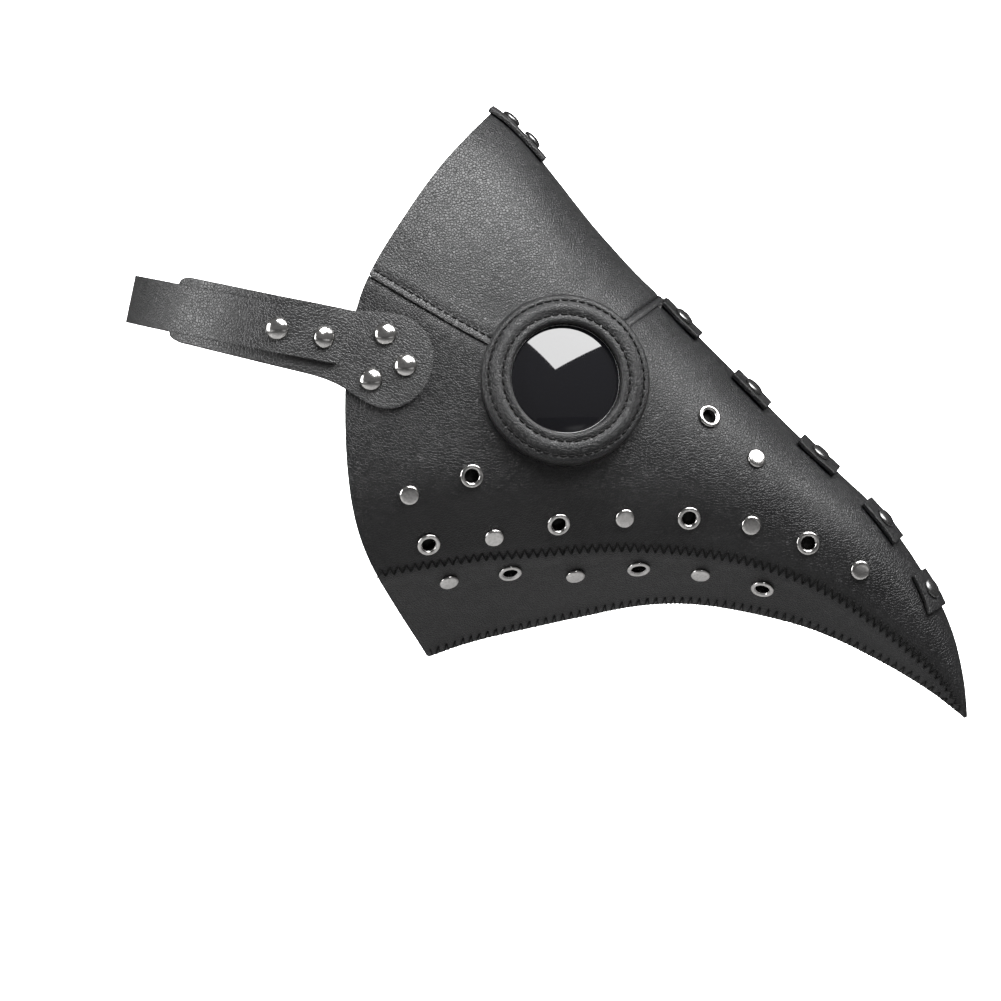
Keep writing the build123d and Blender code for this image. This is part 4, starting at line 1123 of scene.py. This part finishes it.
def paddle(side, name):
    """Round-ended leather piece on the temple with its tail behind the strap."""
    # outline in strap coordinates: distance along the strap's rise and across it
    c, s = math.cos(RISE), math.sin(RISE)
    pts = []
    for x, z in PADDLE_OUTLINE:
        dx, dz = x - STRAP_FRONT[0], z - STRAP_FRONT[1]
        pts.append((dx * c - dz * s, dx * s + dz * c))
    end = -71.0
    half = PADDLE_TAIL_HALF
    loop = [(end + 4.0, -half), (end + 1.2, -half + 1.2), (end, -half + 4.0)]
    loop += [(end, half - 4.0), (end + 1.2, half - 1.2), (end + 4.0, half)]
    run = smooth_run(pts, 260)
    run = np.concatenate([run, smooth_run(loop, 60)])
    run = np.concatenate([run, run[:1]])
    cols = 150
    a_hi = run[:, 0].max()
    a_lo = end
    t = np.linspace(0.0, 1.0, cols)
    a_list = a_lo + (a_hi - a_lo) * np.where(t > 0.6, 0.6 + 0.4 * np.sin((t - 0.6) / 0.4 * math.pi / 2), t)
    lo_q, hi_q = [], []
    for a in a_list:
        a = min(max(a, a_lo + 0.02), a_hi - 0.02)
        qs = []
        for (a0, q0), (a1, q1) in zip(run[:-1], run[1:]):
            if (a0 - a) * (a1 - a) <= 0.0 and a0 != a1:
                qs.append(q0 + (q1 - q0) * (a - a0) / (a1 - a0))
        lo_q.append(min(qs))
        hi_q.append(max(qs))
    rows = 34
    f = np.linspace(0.0, 1.0, rows)
    Q = np.array(lo_q)[None] * (1 - f[:, None]) + np.array(hi_q)[None] * f[:, None]
    X = STRAP_FRONT[0] + a_list * c
    X = np.clip(X, HALF_PATH[0, 0], HALF_PATH[-1, 0])
    S = side * np.interp(X, HALF_PATH[:, 0], REACH)
    S = np.repeat(S[None], rows, axis=0)
    p = wrap_base(S, Q)
    n = wrap_normal(S, Q)
    lift = 1.95 + 0.12 * noise(p, 18.0, 11)
    for x, z in PADDLE_RIVETS:
        c0 = place(x, z, side, 2.0)[0]
        lift = lift - 0.3 * bump(np.linalg.norm(p - c0, axis=-1), 5.5)
    p = p + n * lift[..., None]
    obj = make_mesh("temple_paddle_" + name, p.reshape(-1, 3), grid_faces(rows, cols))
    outward(obj, lambda v: Vector((0.0, v.y, 0.0)))
    give_thickness(obj, 1.75, 0.5, 3)
    finish_piece(obj, "mask", STRAP, ("strap_paddle_" + name,))


def ribbon_line(path):
    """Middle line of a strap along a path of (s, h), its cross direction and its normal."""
    path = np.array(path, float)
    t = lengths(path)
    fine = spline_at(t, path, spline_bends(t, path), np.linspace(0.0, t[-1], max(int(t[-1] / 0.9), 40)))
    mid = wrap(fine[:, 0], np.zeros(len(fine)), fine[:, 1])
    ones = np.ones(len(fine))
    cross = unit(wrap_base(fine[:, 0], ones) - wrap_base(fine[:, 0], -ones))
    tangent = unit(np.gradient(mid, axis=0))
    n = unit(np.cross(cross, tangent))
    return fine, mid, cross, n


def strap_mesh(name, path, half, thickness, slots=(), holes=(), tip=None):
    """Outer face of a strap, with slots and holes and a rounded tip if asked."""
    front_round = 3.0
    fine, mid, cross, n = ribbon_line(path)
    reach = lengths(mid)
    total = reach[-1]
    rows = 27
    f = np.linspace(-1.0, 1.0, rows)
    width = np.full(len(mid), half)
    for i, r in enumerate(reach):
        if r < front_round:
            width[i] = half - front_round + math.sqrt(max(front_round ** 2 - (front_round - r) ** 2, 0.0))
        if tip and total - r < tip:
            g = (tip - (total - r)) / tip
            width[i] = half * math.sqrt(max(1.0 - g ** 2.2, 0.0016))
    q = f[:, None] * width[None]
    p = mid[None] + cross[None] * q[..., None]
    wave = 0.10 * noise(p, 16.0, 21)
    p = p + n[None] * (thickness / 2.0 + wave)[..., None]
    faces = grid_faces(rows, len(mid), False)
    flat = p.reshape(-1, 3)
    centres = flat[np.array(faces)].mean(axis=1)
    keep = np.ones(len(faces), bool)
    for centre, radius in holes:
        keep &= np.linalg.norm(centres - centre, axis=1) > radius
    for a, b, half_q in slots:
        cols = (np.arange(len(faces)) % (len(mid) - 1))
        row = (np.arange(len(faces)) // (len(mid) - 1))
        ss = fine[cols, 0]
        qq = q[row, cols]
        keep &= ~((ss > a) & (ss < b) & (np.abs(qq) < half_q))
    return make_mesh(name, flat, [g for g, k in zip(faces, keep) if k])


def spread(first, last, count):
    return [first + (last - first) * i / (count - 1.0) for i in range(count)]


def strap_place(s):
    """Seat of a rivet's cap on the strap."""
    p = wrap(np.array(s), np.array(0.0), np.array(STRAP_TOP + STRAP_RIVET_LIFT))
    return p, wrap_normal(s, 0.0), np.array([1.0, 0.0, 0.0])


def straps():
    for side, name in SIDES:
        paddle(side, name)
    mid = LEATHER / 2.0
    first = s_at(STRAP_FRONT[0], -1.0)
    path = [(s, STRAP_LOW + mid) for s in spread(first, S_FAR + 2.0, 24)]
    over = BAR_HEIGHT + BAR_RADIUS + LEATHER + 0.45 + mid
    path += [(S_FAR + 6.0, STRAP_LOW + mid + 0.9), (S_FAR + 10.5, 0.5 * (STRAP_LOW + mid + over))]
    path += [(S_BAR - 4.0, over - 0.9), (S_BAR, over), (S_BAR + 4.0, over - 0.5), (S_BAR + 9.0, over - 1.9)]
    path += [(S_BAR + 14.0, KEPT_MID + 0.6), (S_KEEPER, KEPT_MID)]
    path += [(S_KEEPER + 6.0, KEPT_MID), (S_KEEPER + 11.0, KEPT_MID)]
    holes = [(wrap(np.array(s), np.array(0.0), np.array(STRAP_LOW + 1.7)), 1.6) for s in HOLES_BEHIND]
    holes.append((wrap(np.array(S_BAR + 14.5), np.array(0.0), np.array(KEPT_MID + 1.4)), 1.6))
    slots = [(S_BAR - 11.5, S_BAR - 2.6, 1.6)]
    band = strap_mesh("head_strap", path, STRAP_WIDTH / 2.0, LEATHER, slots, holes, 9.0)
    outward(band, lambda v: Vector((v.x + 0.05, v.y, 0.0)))
    give_thickness(band, LEATHER - 0.1, 0.5, 3)
    finish_piece(band, "mask", STRAP, ("back_strap",))
    lying = STRAP_LOW + mid
    path = [(s, lying) for s in spread(S_KEEPER + 29.0, S_KEEPER + 14.0, 8)]
    path += [(S_KEEPER + 10.5, RAISED_MID - 0.8)]
    path += [(s, RAISED_MID) for s in spread(S_KEEPER + 8.5, S_KEEPER - 5.5, 7)]
    path += [(S_BAR + 13.5, lying + 0.1), (S_BAR + 10.0, lying), (S_BAR + 6.5, lying), (S_BAR + 3.0, lying)]
    turn = BAR_RADIUS + 0.12 + mid
    for a in (-70.0, -45.0, -15.0, 15.0, 45.0, 75.0):
        t = math.radians(a)
        path.append((S_BAR - turn * math.cos(t), BAR_HEIGHT + turn * math.sin(t)))
    path += [(S_BAR + 2.0, BAR_HEIGHT + turn - 0.1), (S_BAR + 5.0, BAR_HEIGHT + turn - 1.1)]
    path += [(S_BAR + 8.0, STRAP_TOP + mid + 0.6), (S_BAR + 12.0, STRAP_TOP + mid + 0.25)]
    slots = [(S_BAR - 5.0, S_BAR + 3.4, 2.1)]
    short = strap_mesh("buckle_billet", path, STRAP_WIDTH / 2.0 - 0.2, -LEATHER, slots)
    give_thickness(short, LEATHER - 0.1, 0.4, 2)
    finish_piece(short, "mask", STRAP, ("buckle_strap",))
    places = [strap_place(s_at(x, -1.0)) for x in STRAP_RIVETS_X]
    obj = revolve("strap_domes", places, dome_cap(), 48)
    finish_piece(obj, "mask", NICKEL, ("strap_rivets",))
    places = [strap_place(s) for s in (S_KEEPER + 17.0, S_KEEPER + 25.5)]
    obj = revolve("buckle_strap_domes", places, dome_cap(), 48)
    finish_piece(obj, "mask", NICKEL, ("buckle_strap_rivets",))
    # keeper: a closed leather loop round the strap
    low, high = STRAP_LOW + 0.15 + 0.6, KEPT_MID + LEATHER / 2.0 + 0.35 + 0.6
    wide = STRAP_WIDTH / 2.0 + 0.4 + 0.6
    corner = 1.5
    ring = []
    for cx, cz, a0 in ((wide - corner, high - corner, 0), (-wide + corner, high - corner, 90),
                       (-wide + corner, low + corner, 180), (wide - corner, low + corner, 270)):
        for k in range(7):
            a = math.radians(a0 + 15.0 * k)
            ring.append((cx + corner * math.cos(a), cz + corner * math.sin(a)))
    ring = np.array(ring)
    ring = np.concatenate([ring, ring[:1]])
    reach = lengths(ring)
    want = np.linspace(0.0, reach[-1], 121)[:-1]
    ring = read_run(want, reach, ring)
    verts = []
    span = spread(-4.0, 4.0, 9)
    for ds in span:
        s = KEEPER_AT + ds
        base = wrap_base(s, 0.0)
        n = wrap_normal(s, 0.0)
        w = unit(wrap_base(s, 1.0) - wrap_base(s, -1.0))
        for qv, hv in ring:
            out = 0.6 - 0.12 * (ds / 4.0) ** 4
            direction = np.array([qv / wide, (hv - (low + high) / 2) / ((high - low) / 2)])
            wider = math.copysign(min(abs(direction[0]) ** 6, 1.0) * out, qv)
            higher = math.copysign(min(abs(direction[1]) ** 6, 1.0) * out, hv - (low + high) / 2)
            verts.append(base + w * (qv + wider) + n * (hv + higher))
    keeper = make_mesh("strap_loop_keeper", verts, grid_faces(len(span), 120, False, True))
    centre = wrap(np.array(KEEPER_AT), np.array(0.0), np.array((low + high) / 2))
    mid_point = Vector((centre * MM).tolist())
    outward(keeper, lambda v: v - mid_point)
    give_thickness(keeper, 1.1, 0.3, 2)
    finish_piece(keeper, "keeper", STRAP, ("strap_keeper",))
    for node in ("buckle_frame", "buckle_prong"):
        paint(NODES[node], NICKEL)
        NODES[node].data.shade_smooth()


panels()
seam_threads()
eye_rings()
hardware()
ridge_tabs()
straps()


# ------------------------------------------------------------------ studio
def plain_material(name, value):
    mat, nt, bsdf, link = new_material(name)
    bsdf.inputs["Base Color"].default_value = (value, value, value, 1.0)
    bsdf.inputs["Roughness"].default_value = 0.9
    return mat


def studio():
    floor_z = -0.90
    verts = []
    n = 24
    xs = (-16.0, 16.0)
    run = [(-16.0, floor_z), (11.3, floor_z)]
    for i in range(1, n + 1):
        a = math.radians(90.0 * i / n)
        run.append((11.3 + 2.4 * math.sin(a), floor_z + 2.4 * (1.0 - math.cos(a))))
    run.append((13.7, 9.0))
    for x in xs:
        for y, z in run:
            verts.append((x, y, z))
    m = len(run)
    faces = [(i, i + 1, m + i + 1, m + i) for i in range(m - 1)]
    sweep = make_mesh("studio_sweep", np.array(verts) / MM, faces)
    paint(sweep, plain_material("studio_white", 0.5))

    world = bpy.data.worlds.new("studio_world")
    bpy.context.scene.world = world
    world.use_nodes = True
    world.node_tree.nodes["Background"].inputs[0].default_value = (1.0, 1.0, 1.0, 1.0)
    world.node_tree.nodes["Background"].inputs[1].default_value = 0.20

    def lamp(name, kind, where, target, power):
        light = bpy.data.lights.new(name, kind)
        light.energy = power
        obj = bpy.data.objects.new(name, light)
        obj.location = where
        direction = Vector(target) - Vector(where)
        obj.rotation_euler = direction.to_track_quat("-Z", "Y").to_euler()
        bpy.context.scene.collection.objects.link(obj)
        return obj, light

    def area(name, where, target, size, power):
        obj, light = lamp(name, "AREA", where, target, power)
        light.size = size
        return obj, light

    key, light = area("key_softbox", (0.34, -0.56, 0.82), (0.03, -0.05, 0.0), 0.9, 33.0)
    light.shape = "RECTANGLE"
    light.size_y = 0.78
    key.rotation_euler.rotate_axis("Z", math.radians(22.0))
    area("side_softbox", (0.76, -0.20, 0.68), (0.03, -0.05, 0.06), 0.5, 8.0)
    area("rear_card", (-1.7, -0.45, 0.25), (0.0, 0.0, 0.0), 1.2, 52.0)
    def spot_light(name, where, target, degrees, power):
        light = lamp(name, "SPOT", where, target, power)[1]
        light.spot_size = math.radians(degrees)
        light.spot_blend = 0.5
        light.shadow_soft_size = 0.2

    # the backdrop behind the mask, then the floor all round it
    for i, x in enumerate((-0.55, 0.6)):
        spot_light("wall_spot_%d" % i, (x, 11.2, 1.9), (x * 0.7, 13.6, -0.1), 66.0, 1300.0)
    for i, (x, y) in enumerate(((3.4, 3.4), (-3.4, 3.4), (-3.4, -3.4), (3.4, -3.4))):
        spot_light("floor_spot_%d" % i, (x, y, 3.2), (x * 1.12, y * 1.12, -0.9), 64.0, 900.0)

    cam = bpy.data.cameras.new("camera")
    cam.lens = 800.0
    cam.sensor_width = 36.0
    obj = bpy.data.objects.new("camera", cam)
    obj.location = (0.0296, -9.34, -0.0519)
    obj.rotation_euler = (math.radians(90.0), 0.0, 0.0)
    bpy.context.scene.collection.objects.link(obj)
    bpy.context.scene.camera = obj
    bpy.context.scene.view_settings.view_transform = "Standard"


studio()
